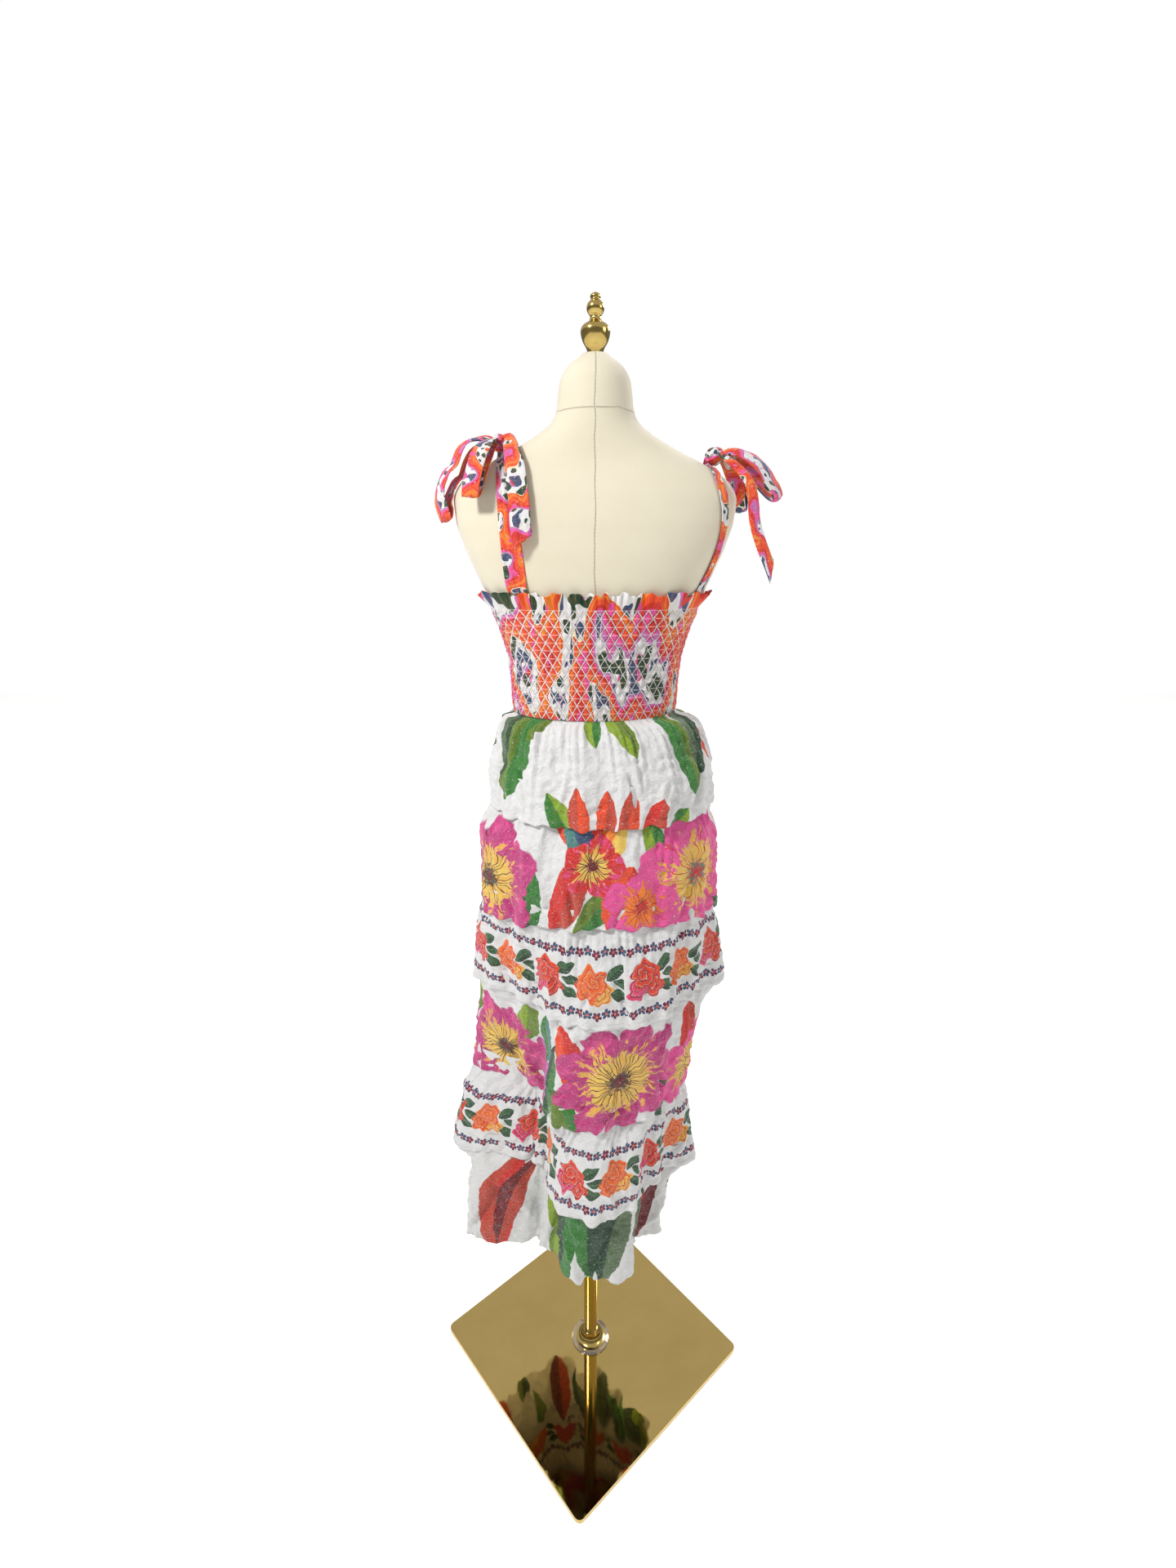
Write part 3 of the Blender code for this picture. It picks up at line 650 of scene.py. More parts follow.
WIDE_BLOOMS = (
    (0.048, 0.060, 8, 0.098, 7, 0.34, BOTTLE, YELLOW, MAGENTA, MAROON),
    (0.285, 0.084, 40, 0.106, 9, 0.34, BOTTLE, YELLOW, MAGENTA, MAROON),
    (0.425, 0.055, 30, 0.074, 6, 0.28, TEAL, YELLOW, HOT_PINK, MAROON),
)
DUSK_LEAVES = (
    (0.080, 0.190, -86, 0.240, 0.034, 0.10, BRICK, RED),
    (0.125, 0.180, -98, 0.190, 0.022, -0.10, MAROON, BRICK),
    (0.175, 0.180, -80, 0.150, 0.020, 0.20, LIME, OLIVE),
    (0.240, 0.190, -93, 0.250, 0.034, 0.08, BOTTLE, GREEN),
    (0.275, 0.190, -84, 0.200, 0.022, -0.12, GREEN, BOTTLE),
    (0.330, 0.180, -96, 0.190, 0.030, 0.10, BOTTLE, SAGE),
    (0.375, 0.180, -84, 0.170, 0.024, -0.12, SAGE, BOTTLE),
    (0.435, 0.180, -92, 0.190, 0.026, 0.12, BRICK, MAROON),
    (0.480, 0.180, -80, 0.150, 0.022, 0.20, OLIVE, GREEN),
    (0.205, -0.010, 84, 0.060, 0.014, 0.20, LIME, OLIVE),
    (0.020, -0.010, 84, 0.070, 0.016, 0.20, OLIVE, BOTTLE),
)


def repeated(cloth):
    """The same print again every repeat, as on the roll of cloth."""
    across, up = split(cloth)
    return join(across % PRINT_REPEAT, up)


def bold_cloth(name, leaves, blooms, ground=WHITE):
    """Leaves, then blooms over them, on a white ground or a grey one, under grey streaks of painted
    shade.
    """
    made, surface, cloth = start_cloth(name)
    place = repeated(cloth)
    # Broad grey streaks over the ground: painted shade.
    shadow = streaks(cloth, 30, 60, 0.9)
    colour = blend_colours(shadow, ground, (0.62, 0.63, 0.64))
    colour = paint_leaves(place, colour, leaves)
    colour = paint_blooms(place, colour, blooms)
    finish_cloth(surface, cloth, colour)
    return made


leafy_voile = bold_cloth("leafy_voile", LEAFY_LEAVES, ())
bloom_voile = bold_cloth("bloom_voile", BLOOM_LEAVES, BLOOMS)
wide_bloom_voile = bold_cloth("wide_bloom_voile", WIDE_LEAVES, WIDE_BLOOMS)
# The lowest tier gets a greyer ground than the others: painted shade, as less light reaches it.
dusk_voile = bold_cloth("dusk_voile", DUSK_LEAVES, (), ground=(0.70, 0.70, 0.69))
print("bold cloths, with", len(wide_bloom_voile.node_tree.nodes), "nodes in the fullest")

# %% Cloth for the border tiers
GARLAND = 0.144
GARLAND_HEIGHT = 0.066
GARLAND_START = 0.030
ROW_HEIGHTS = (0.022, 0.108)
SMALL_FLOWER_STEP = 0.0122
SMALL_FLOWER_SIZE = 0.0070
GARLAND_LEAVES = (
    # along the garland, above its middle, turn, length, half width, bend
    (0.018, 0.006, 34, 0.034, 0.0085, 0.25),
    (0.022, -0.006, -32, 0.032, 0.0085, -0.25),
    (0.056, -0.004, 168, 0.030, 0.0075, -0.20),
    (0.090, 0.006, 36, 0.034, 0.0085, 0.25),
    (0.094, -0.006, -30, 0.032, 0.0085, -0.25),
    (0.128, -0.002, 164, 0.030, 0.0075, 0.20),
)
GARLAND_ROSES = (
    # along, above the middle, turn, size, dark, light
    (0.012, -0.010, 60, 0.0185, RED, ORANGE_RED),
    (-0.010, -0.010, 200, 0.0175, RED, HOT_PINK),
    (0.001, 0.007, 15, 0.0225, RED, ORANGE_RED),
    (0.083, -0.010, 20, 0.0175, ORANGE, YELLOW),
    (0.062, -0.009, 300, 0.0180, ORANGE_RED, ORANGE),
    (0.072, 0.007, 110, 0.0215, ORANGE_RED, ORANGE),
)


def border_cloth(name, shift):
    """Rows of small flowers above and below a garland of roses, with a plain hem."""
    made, surface, cloth = start_cloth(name)
    across, up = split(cloth)
    along = (across + shift) % GARLAND - GARLAND_START
    sway = maths("SINE", across * 41.0) * 0.003
    place = join(along, up - (sway + GARLAND_HEIGHT))
    # Broad grey streaks over the white ground: painted shade.
    colour = blend_colours(streaks(cloth, 30, 60, 0.8), WHITE, (0.62, 0.63, 0.64))
    for x, y, turn, length, width, bend in GARLAND_LEAVES:
        leaf = place_group(
            LEAF, Cloth=place, Across=x, Up=y, Turn=math.radians(turn), Length=length, Width=width,
            Bend=bend,
        )
        dark = blend_colours(leaf["Half"], BOTTLE, (0.03, 0.11, 0.04))
        colour = blend_colours(leaf["Mask"], colour, blend_colours(leaf["Veins"], dark, SAGE))
    for x, y, turn, size, dark, light in GARLAND_ROSES:
        rose = place_group(ROSE, Cloth=place, Across=x, Up=y, Turn=math.radians(turn), Size=size)
        petals = blend_colours(rose["Tone"], dark, light)
        petals = blend_colours(rose["Lines"] * 0.85, petals, PLUM if dark == RED else BRICK)
        pale = rose["Tone"] > 0.90
        petals = blend_colours(pale * 0.7, petals, (0.86, 0.50, 0.36))
        colour = blend_colours(rose["Mask"], colour, petals)
    for height in ROW_HEIGHTS:
        row = place_group(
            FLOWER_ROW, Cloth=cloth, Up=height, Step=SMALL_FLOWER_STEP, Size=SMALL_FLOWER_SIZE,
        )
        flower = blend_colours(row["Second"], PLUM, SLATE)
        flower = blend_colours(row["Heart"], flower, (0.70, 0.16, 0.10))
        colour = blend_colours(row["Mask"], colour, flower)
    finish_cloth(surface, cloth, colour)
    return made


rose_voile = border_cloth("rose_voile", 0.0)
late_rose_voile = border_cloth("late_rose_voile", 0.047)
print("border cloth:", len(rose_voile.node_tree.nodes), "nodes")

# %% [markdown]
# ## The bodice's cloth and the straps' cloth
#
# The bodice is made from the same print, drawn in by elastic thread. What is left of the print is
# patches of colour, so noise cut into steps of colour suits it. The threads lie in a lattice of
# diamonds with a level thread through each row of stitches. The lattice has its own coordinates,
# one unit to a diamond, so thread and puffs meet exactly.

# %% Patches of colour
PATCHES = (
    # where the step starts, colour
    (0.00, HOT_PINK), (0.31, WHITE), (0.395, LILAC), (0.412, HOT_PINK), (0.427, RED),
    (0.455, ORANGE_RED), (0.505, ORANGE), (0.535, ORANGE_RED), (0.552, CREAM), (0.562, WHITE),
    (0.645, LILAC), (0.665, RED),
)


def painted_patches(cloth, scale):
    """Steps of colour over stretched noise, with small dark and bright marks on them."""
    twisted = rough_noise(stretched(cloth, scale, scale * 0.8), 1.0, 1.5, 0.4)
    ramp = add(cloth.tree, "ShaderNodeValToRGB")
    ramp.color_ramp.interpolation = "CONSTANT"
    stops = ramp.color_ramp.elements
    while len(stops) < len(PATCHES):
        stops.new(0.99)
    for stop, (start, colour) in zip(stops, PATCHES):
        stop.position = start
        stop.color = (*colour, 1.0)
    plug(ramp.inputs[0], twisted)
    marks = rough_noise(stretched(cloth, scale * 2.9, scale * 2.3), 1.0, 1.0, 0.4)
    light_ground = abs(twisted - 0.4785) > 0.0835
    leafy = (marks > 0.575) * light_ground
    inky = (marks < 0.415) * light_ground
    bright = (marks > 0.655) * (1.0 - light_ground)
    colour = blend_colours(leafy, ramp.outputs[0], BOTTLE)
    colour = blend_colours(inky, colour, SLATE)
    colour = blend_colours(bright, colour, HOT_PINK)
    brushed = streaks(cloth, 260, 90, 1.2)
    return blend_colours(brushed * 0.8, colour, ORANGE)


def near_line(value, half_width):
    """1 on whole numbers, falling to 0 at half_width away."""
    apart = maths("PINGPONG", value, 0.5)
    edge = 1.0 - apart / half_width
    return clipped(edge * 2.5)


def smocked_cloth():
    """The print drawn in: patches of colour under light threads, and painted shade between the
    puffs.
    """
    made, surface, cloth = start_cloth("smocked_cloth")
    s, t = split(coordinates(made, "ShaderNodeUVMap", 0, uv_map="lattice"))
    wander = (rough_noise(cloth, 90.0, 2.0) - 0.5) * 0.16
    rising = s + t + wander
    falling = s - t + wander
    threads = maths("MAXIMUM", near_line(rising, 0.072), near_line(falling, 0.072))
    broken = rough_noise(stretched(cloth, 420, 420), 1.0, 2.0)
    threads = threads * clipped((broken - 0.28) * 5.0)
    level = near_line(t * 2.0, 0.075)
    smocked = (t < 7.02) * (t > -0.02)
    threads = threads * smocked
    level = level * smocked * 0.34
    colour = painted_patches(cloth, 11.5)
    # Fine upright gathers of the drawn-in cloth: a bump, and painted shade that darkens the colour
    # along them.
    drawn = rough_noise(stretched(cloth, 900, 60), 1.0, 2.0)
    dark = clipped((drawn - 0.42) * 1.2)
    colour = blend_colours(dark, colour, (0.45, 0.30, 0.30), "MULTIPLY")
    # Painted shade in the grooves along the threads, between the puffs.
    groove = maths("MAXIMUM", near_line(rising, 0.24), near_line(falling, 0.24))
    groove = groove * smocked * 0.42
    colour = blend_colours(groove, colour, (0.42, 0.36, 0.37), "MULTIPLY")
    colour = blend_colours(maths("MAXIMUM", threads * 0.92, level), colour, (0.86, 0.84, 0.82))
    plug(surface.inputs["Base Color"], colour)
    height = threads * 0.0006 + level * 0.0003
    height = height + drawn * 0.0009
    bumped(surface, height, 0.9)
    return made


def strap_cloth():
    """The same patches, larger against the narrow band, on plain voile."""
    made, surface, cloth = start_cloth("strap_cloth")
    colour = painted_patches(cloth, 24.0)
    finish_cloth(surface, cloth, colour, 0.6)
    return made


smocking = smocked_cloth()
strap_print = strap_cloth()
print("smocked cloth:", len(smocking.node_tree.nodes), "nodes")

# %% [markdown]
# ## The stand's finishes
#
# The form is a padded shape in cream jersey, sewn down the middle of the back and round the neck.
# The pole, its foot and the finial are polished brass, and the base is a sheet of gold mirror.

# %% Jersey, brass and mirror
form_low, form_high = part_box("form_torso")
FORM_MIDDLE = (form_low.x + form_high.x) / 2
NECK_SEAM = 1.554
BACK_SEAM_HALF, NECK_SEAM_HALF = 0.0011, 0.0012
STITCHES_PER_METRE = 240.0


def jersey_cloth():
    """Fine knit with two seams: down the centre back and round the neck."""
    made, surface = new_material("cream_jersey", Roughness=0.82, Sheen_Weight=0.25)
    place = coordinates(made, "ShaderNodeTexCoord", "Object")
    x, y, z = split(place, 3)
    knit = rough_noise(stretched(place, 1400, 1400, 500), 1.0, 2.0)
    uneven = (rough_noise(place, 26.0, 3.0) - 0.5) * 0.0060
    from_back = abs(x - FORM_MIDDLE + uneven)
    behind = y < 0.0
    back_seam = clipped(1.0 - from_back / BACK_SEAM_HALF) * behind
    from_neck = abs(z - NECK_SEAM + uneven)
    neck_seam = clipped(1.0 - from_neck / NECK_SEAM_HALF)
    seams = maths("MAXIMUM", back_seam, neck_seam)
    stitch = maths("FRACT", z * STITCHES_PER_METRE) > 0.35
    seams = seams * (0.55 + stitch * 0.45)
    mottled = rough_noise(place, 30.0, 4.0) * 0.5
    colour = blend_colours(mottled, (0.66, 0.60, 0.45), (0.75, 0.70, 0.57))
    colour = blend_colours(knit * 0.12, colour, (0.5, 0.45, 0.34))
    colour = blend_colours(seams * 0.55, colour, (0.34, 0.29, 0.2))
    plug(surface.inputs["Base Color"], colour)
    height = knit * 0.00025 - seams * 0.0009
    bumped(surface, height)
    return made


def polished(name, light, dark, least, most):
    """Metal with faint smears that change its gloss and colour."""
    made, surface = new_material(name, Metallic=1.0)
    place = coordinates(made, "ShaderNodeTexCoord", "Object")
    smears = rough_noise(stretched(place, 9, 14, 9), 1.0, 5.0, 0.65)
    plug(surface.inputs["Base Color"], blend_colours(smears, light, dark))
    spread = smears ** 3.0 * (most - least)
    plug(surface.inputs["Roughness"], spread + least)
    return made


def clear_plastic():
    """Clear plastic for the washer at the pole's foot."""
    return new_material(
        "clear_plastic", Base_Color=(0.96, 0.95, 0.92), Roughness=0.06, Transmission_Weight=0.9,
        IOR=1.46,
    )[0]


jersey = jersey_cloth()
brass = polished("polished_brass", (0.66, 0.49, 0.17), (0.50, 0.35, 0.10), 0.10, 0.42)
mirror = polished("gold_mirror", (0.68, 0.495, 0.19), (0.54, 0.385, 0.12), 0.02, 0.20)
print("jersey, brass and mirror are ready")

# %% [markdown]
# ## Turning the metal parts
#
# The finial, the pole and its foot are round, so they are turned: a circle is drawn at the foot of
# the piece, and its rim is extruded and scaled to each height and radius of a profile. The profile
# lists are the ones a lathe would follow. Points set close together keep the steps crisp.

# %% A lathe made of extrusions
ROUND = 48
SMOOTH_UNDER = 42


def turned(name, centre, profile, finish, node=None):
    """A round solid from its profile of heights and radii, and the CAD node that it replaces."""
    height, radius = profile[0]
    place = Vector(centre) + Vector((0, 0, height))
    bpy.ops.mesh.primitive_circle_add(
        vertices=ROUND, radius=radius, fill_type="NGON", location=place,
    )
    made = bpy.context.object
    made.name = name
    bpy.ops.object.mode_set(mode="EDIT")
    bpy.ops.mesh.select_all(action="SELECT")
    for (low, before), (high, after) in zip(profile, profile[1:]):
        bpy.ops.mesh.extrude_region_move(TRANSFORM_OT_translate={"value": (0, 0, high - low)})
        size = after / before
        middle = (place.x, place.y, centre[2] + high)
        bpy.ops.transform.resize(value=(size, size, 1), center_override=middle)
    bpy.ops.mesh.select_all(action="SELECT")
    bpy.ops.mesh.normals_make_consistent(inside=False)
    bpy.ops.object.mode_set(mode="OBJECT")
    bpy.ops.object.transform_apply(location=True, rotation=True, scale=True)
    bpy.ops.object.shade_smooth_by_angle(angle=math.radians(SMOOTH_UNDER))
    made.data.materials.append(finish)
    if node:
        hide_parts(node)
    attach(made, "root")
    bpy.ops.object.select_all(action="DESELECT")
    return made


def between(a, b, c, d, t):
    """A point on the smooth curve from b to c, with a before it and d after it."""
    return (
        b + (c - a) * (t / 2) + (a * 2 - b * 5 + c * 4 - d) * (t * t / 2)
        + (b * 3 - a - c * 3 + d) * (t ** 3 / 2)
    )


def smooth_path(points, first, last, steps):
    """A smooth curve through points. first and last stand before and after its ends."""
    ends = [first, *points, last]
    runs = zip(ends, ends[1:], ends[2:], ends[3:])
    return [between(*run, i / steps) for run in runs for i in range(steps)] + [points[-1]]


def rounded(profile, steps):
    """More points on a smooth curve through a profile."""
    points = [np.array(point) for point in profile]
    return smooth_path(points, points[0], points[-1], steps)


# %% The finial, the pole and its foot
FINIAL_PROFILE = (
    # height above the neck cap, radius
    (0.0000, 0.0090), (0.0060, 0.0108), (0.0130, 0.0150), (0.0200, 0.0172), (0.0260, 0.0172),
    (0.0300, 0.0142), (0.0330, 0.0092), (0.0350, 0.0074), (0.0385, 0.0064), (0.0410, 0.0080),
    (0.0440, 0.0098), (0.0480, 0.0104), (0.0520, 0.0092), (0.0545, 0.0066), (0.0562, 0.0056),
    (0.0585, 0.0062), (0.0610, 0.0056), (0.0632, 0.0018),
)
FOOT_PROFILE = (
    (0.0000, 0.0260), (0.0026, 0.0260), (0.0030, 0.0240), (0.0050, 0.0205), (0.0085, 0.0172),
    (0.0130, 0.0148), (0.0190, 0.0134), (0.0236, 0.0130), (0.0240, 0.0124),
)
# A clear plastic washer under the foot keeps it from scratching the mirror.
RING_PROFILE = ((0.0000, 0.0336), (0.0004, 0.0340), (0.0013, 0.0340), (0.0017, 0.0334))
POLE_EDGE = 0.0006
pole_low, pole_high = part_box("pole")
finial_low, finial_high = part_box("finial")
collar_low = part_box("pole_collar")[0]
pole_radius = (pole_high.x - pole_low.x) / 2

finial_foot = ((finial_low.x + finial_high.x) / 2, 0, finial_low.z)
finial = turned("brass_finial", finial_foot, rounded(FINIAL_PROFILE, 3), brass, "finial")
pole_height = pole_high.z - pole_low.z
POLE_PROFILE = (
    (0.0, pole_radius - POLE_EDGE), (POLE_EDGE, pole_radius),
    (pole_height - POLE_EDGE, pole_radius), (pole_height, pole_radius - POLE_EDGE),
)
pole = turned("brass_pole", (0, 0, pole_low.z), POLE_PROFILE, brass, "pole")
foot = turned("brass_foot", (0, 0, collar_low.z), FOOT_PROFILE, brass, "pole_collar")
ring = turned("clear_ring", (0, 0, collar_low.z), RING_PROFILE, clear_plastic())
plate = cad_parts["base_plate"]
plate.data.materials.clear()
plate.data.materials.append(mirror)
print("turned:", finial.name, pole.name, foot.name, ring.name)

# %% [markdown]
# ## Taking a smooth shape from a solid
#
# A CAD solid has few, large faces. To cut cloth on it, rays are sent in towards its middle at many
# heights and turns, and the distances they give are smoothed a little, as cloth bridges a corner.
# The result is a table of radii that any sheet on this solid can share. Rays are slower than a
# subdivision modifier, but they leave rows and columns that follow the grain of the cloth.

# %% Rays and smoothing
RAY_TURNS = 720
RAY_STEP = 0.002
RAY_REACH = 0.45
RAY_INSET = 0.0006
BODY_MIDDLE_Y = -0.004
TURNS = (np.arange(RAY_TURNS) + 0.5) * 2 * math.pi / RAY_TURNS


def solid_tree(names):
    """The faces of some CAD nodes, for rays to meet."""
    points, faces = [], []
    for name in names:
        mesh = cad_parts[name].data
        start = len(points)
        points += [v.co.copy() for v in mesh.vertices]
        faces += [[start + i for i in p.vertices] for p in mesh.polygons]
    return BVHTree.FromPolygons(points, faces)


def soft(table, rows, columns):
    """Smooths a table over its rows, and round its columns, by two widths in cells."""
    for axis, width in ((0, rows), (1, columns)):
        if width:
            reach = int(3 * width) + 1
            weights = np.exp(-0.5 * (np.arange(-reach, reach + 1) / width) ** 2)
            weights /= weights.sum()
            pad = [(reach, reach) if i == axis else (0, 0) for i in range(2)]
            padded = np.pad(table, pad, mode="edge" if axis == 0 else "wrap")
            table = sum(
                w * (padded[i:i + table.shape[0]] if axis == 0 else padded[:, i:i + table.shape[1]])
                for i, w in enumerate(weights)
            )
    return table


def filled(line):
    """A line of numbers with its gaps closed from what is beside them."""
    known = ~np.isnan(line)
    places = np.arange(len(line))
    return np.interp(places, places[known], line[known])


def ray_table(names, low, high):
    """Heights, the middle at each height, the radii, and the lowest height at each turn."""
    tree = solid_tree(names)
    heights = np.arange(high - RAY_INSET, low, -RAY_STEP)
    middles = np.full(len(heights), np.nan)
    radii = np.full((len(heights), RAY_TURNS), np.nan)
    ways = [Vector((math.cos(a), math.sin(a), 0)) for a in TURNS]
    for k, height in enumerate(heights):
        sides = [
            tree.ray_cast(Vector((side, BODY_MIDDLE_Y, height)), Vector((-side, 0, 0)))[0]
            for side in (-1, 1)
        ]
        if None not in sides:
            middles[k] = (sides[0].x + sides[1].x) / 2
    middles = filled(middles)
    for k, height in enumerate(heights):
        axis = Vector((middles[k], 0, height))
        for j, way in enumerate(ways):
            hit = tree.ray_cast(axis + way * RAY_REACH, -way, RAY_REACH)[0]
            if hit:
                radii[k, j] = (hit - axis).length
    lowest = np.array([heights[np.where(~np.isnan(column))[0].max()] for column in radii.T])
    radii = np.array([filled(column) for column in radii.T]).T
    return heights, middles, radii, lowest


# %% [markdown]
# ## Laying cloth in rows and columns
#
# A sheet is a grid of points: rows run round the body and columns hang from the seam to the hem.
# Each point keeps its flat cloth coordinates. A thin wall is added inwards, so the printed face
# stays exactly where the creases were set.

# %% A sheet from a grid
CLOTH_THICK = 0.0008


def sheet_from(name, grid, flat, material, thick=CLOTH_THICK, lattice=None):
    """A mesh of a grid (rows, columns, xyz) with its flat coordinates, given a thin wall."""
    rows, columns = grid.shape[:2]
    index = np.arange(rows * columns).reshape(rows, columns)
    corners = [index[:-1, :-1], index[1:, :-1], index[1:, 1:], index[:-1, 1:]]
    faces = np.stack(corners, axis=-1).reshape(-1, 4)
    mesh = bpy.data.meshes.new(name)
    mesh.from_pydata(grid.reshape(-1, 3).tolist(), [], faces.tolist())
    ends = np.empty(len(mesh.loops), dtype=np.int64)
    mesh.loops.foreach_get("vertex_index", ends)
    for label, values in (("cloth", flat), ("lattice", lattice)):
        if values is not None:
            layer = mesh.uv_layers.new(name=label)
            layer.data.foreach_set("uv", values.reshape(-1, 2)[ends].astype(np.float32).ravel())
    mesh.materials.append(material)
    made = bpy.data.objects.new(name, mesh)
    bpy.context.scene.collection.objects.link(made)
    bpy.ops.object.select_all(action="DESELECT")
    bpy.context.view_layer.objects.active = made
    made.select_set(True)
    wall = made.modifiers.new("wall", "SOLIDIFY")
    wall.thickness = thick
    wall.offset = -1
    wall.use_even_offset = False
    bpy.ops.object.modifier_apply(modifier="wall")
    bpy.ops.object.shade_smooth()
    bpy.ops.object.select_all(action="DESELECT")
    return made


def outward(grid):
    """The direction straight out of a grid at each of its points."""
    down = np.gradient(grid, axis=0)
    along = np.gradient(grid, axis=1)
    normal = np.cross(down, along)
    return normal / np.maximum(np.linalg.norm(normal, axis=2, keepdims=True), 1e-9)


def cloth_noise(grid, size, seed, stretch=(1, 1, 1)):
    """Soft noise in space, the same for two pieces where they meet."""
    scaled = grid.reshape(-1, 3) * np.array(stretch) / size + seed
    return np.array([noise.noise(Vector(p)) for p in scaled]).reshape(grid.shape[:2])


# %% [markdown]
# ## The padded form
#
# The form is one smooth shape. Its radii come from the CAD torso. They shape the form itself, the
# bodice, which must lie just clear of it all the way round, and the seam at the top of tier 1.

# %% The form
form_heights, form_middles, form_radii, _ = ray_table(
    ["form_torso"], form_low.z + RAY_INSET, form_high.z,
)
form_radii = soft(form_radii, 2.0, 10.0)
FORM_COLUMNS = 120


def form_radius(height, turns):
    """The form's radius at one height and many turns."""
    place = np.interp(height, form_heights[::-1], np.arange(len(form_heights))[::-1])
    low, share = int(place), place - int(place)
    high = min(low + 1, len(form_heights) - 1)
    line = form_radii[low] * (1 - share) + form_radii[high] * share
    return np.interp(turns, TURNS, line, period=2 * math.pi)


def form_middle(height):
    """How far the form's middle lies to one side at a height."""
    return np.interp(height, form_heights[::-1], form_middles[::-1])


def build_form():
    """Rings down the torso, closed with a cap at each end."""
    levels = form_heights[::2]
    turns = np.arange(FORM_COLUMNS) * 2 * math.pi / FORM_COLUMNS
    points, faces = [], []
    for height in levels:
        middle = form_middle(height)
        for r, a in zip(form_radius(height, turns), turns):
            points.append((middle + r * math.cos(a), r * math.sin(a), height))
    for k in range(len(levels) - 1):
        for j in range(FORM_COLUMNS):
            right = (j + 1) % FORM_COLUMNS
            a, b = k * FORM_COLUMNS, (k + 1) * FORM_COLUMNS
            faces.append((a + j, b + j, b + right, a + right))
    faces.append(tuple(range(FORM_COLUMNS)))
    faces.append(tuple(range(len(points) - 1, len(points) - 1 - FORM_COLUMNS, -1)))
    mesh = bpy.data.meshes.new("padded_form")
    mesh.from_pydata(points, [], faces)
    mesh.materials.append(jersey)
    mesh.shade_smooth()
    made = bpy.data.objects.new("padded_form", mesh)
    bpy.context.scene.collection.objects.link(made)
    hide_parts("form_torso")
    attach(made, "root")
    return made


padded_form = build_form()
form_surface = solid_tree(["form_torso"])
print("form:", len(padded_form.data.polygons), "faces")

# %% [markdown]
# ## The smocked bodice
#
# Real smocking is a gathered cloth stitched in a lattice. Between the stitches it puffs out. Here
# the puffs are raised in the mesh: the height is zero along both families of slanting threads and
# greatest in the middle of each diamond. Above the lattice the cloth is free, and it waves as a
# frill. The frill has slow waves with quicker gathers on them.

# %% The bodice
SIDE_SEAMS = {"back": (math.pi, 2 * math.pi), "front": (0.0, math.pi)}
bodice_low, bodice_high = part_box("bodice_back")
SMOCK_DROP = 0.018
SMOCK_DIAMONDS = 24
SMOCK_BANDS = 7
SMOCK_FINE = 10
FRILL_FINE = 12
BODICE_OFF = 0.0023
PUFF = 0.0023
FRILL_LEAN = 0.0050
FRILL_WAVES = 21
FRILL_GATHERS = 74
FRONT_ON_ROLL = 0.9
PRINT_DRAWN_IN = 1.5
BODICE_RADIUS = 0.118


def frill_push(turns):
    """How far the frill stands off the form: slow waves with quicker gathers on them."""
    slow = np.cos(FRILL_WAVES * turns + 0.7 * np.sin(3 * turns + 0.6) + 0.4 * np.sin(7 * turns))
    quick = np.cos(FRILL_GATHERS * turns + 1.4 * np.sin(5 * turns) + 0.9 * np.sin(11 * turns + 2))
    return FRILL_LEAN + 0.0034 * slow + 0.0018 * quick


def build_bodice(side):
    """One half of the bodice: the free frill's rows, then the smocked rows."""
    first, last = SIDE_SEAMS[side]
    columns = SMOCK_DIAMONDS * SMOCK_FINE
    turns = first + (last - first) * np.arange(columns + 1) / columns
    low, top = bodice_low.z, bodice_high.z - SMOCK_DROP
    count = SMOCK_BANDS * SMOCK_FINE
    levels = [top - (top - low) * i / count for i in range(count + 1)]
    frill = [bodice_high.z - SMOCK_DROP * i / FRILL_FINE for i in range(FRILL_FINE)]
    s = np.arange(columns + 1) / SMOCK_FINE
    rows, lattice, flat = [], [], []
    on_roll = (turns - first) * BODICE_RADIUS * PRINT_DRAWN_IN
    on_roll = on_roll + (FRONT_ON_ROLL if side == "front" else 0.0)
    for height in frill + levels:
        t = (height - low) / (top - low) * SMOCK_BANDS
        radius = form_radius(height, turns) + BODICE_OFF
        middle = form_middle(height)
        free = max(0.0, (height - top) / SMOCK_DROP)
        puff = (np.abs(np.sin(math.pi * (s + t))) * np.abs(np.sin(math.pi * (s - t)))) ** 0.7
        edge = min(1.0, t * 1.5, max(0.0, (SMOCK_BANDS - t) * 2.0) + 0.25)
        drawn = 0.00022 * np.cos(2 * math.pi * s * 5)
        radius = radius + PUFF * puff * edge * (free == 0) + drawn + frill_push(turns) * free ** 0.8
        lift = 0.0022 * np.cos(27 * turns + 2 * np.sin(4 * turns)) + 0.0011 * np.cos(61 * turns)
        x, y = middle + radius * np.cos(turns), radius * np.sin(turns)
        rows.append(np.stack([x, y, height + lift * free], axis=1))
        lattice.append(np.stack([s, np.full_like(s, t)], axis=1))
        flat.append(np.stack([on_roll, np.full_like(s, height)], axis=1))
    made = sheet_from(
        f"bodice_{side}_cloth", np.array(rows), np.array(flat), smocking,
        lattice=np.array(lattice),
    )
    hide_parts(f"bodice_{side}")
    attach(made, "root")
    return made


for side in SIDE_SEAMS:
    bodice = build_bodice(side)
    print(bodice.name, len(bodice.data.polygons), "faces")

# %% [markdown]
# ## The gathered tiers
#
# Each tier is a strip of voile gathered onto the one above and left to hang. Three scales of fold
# are added to the solid's own pleats: gathers that start at the seam and die out down the cloth,
# creases listed in a table, and a soft crumple everywhere. The hem is turned up, so its
# last few millimetres are a little proud, and its edge wanders.

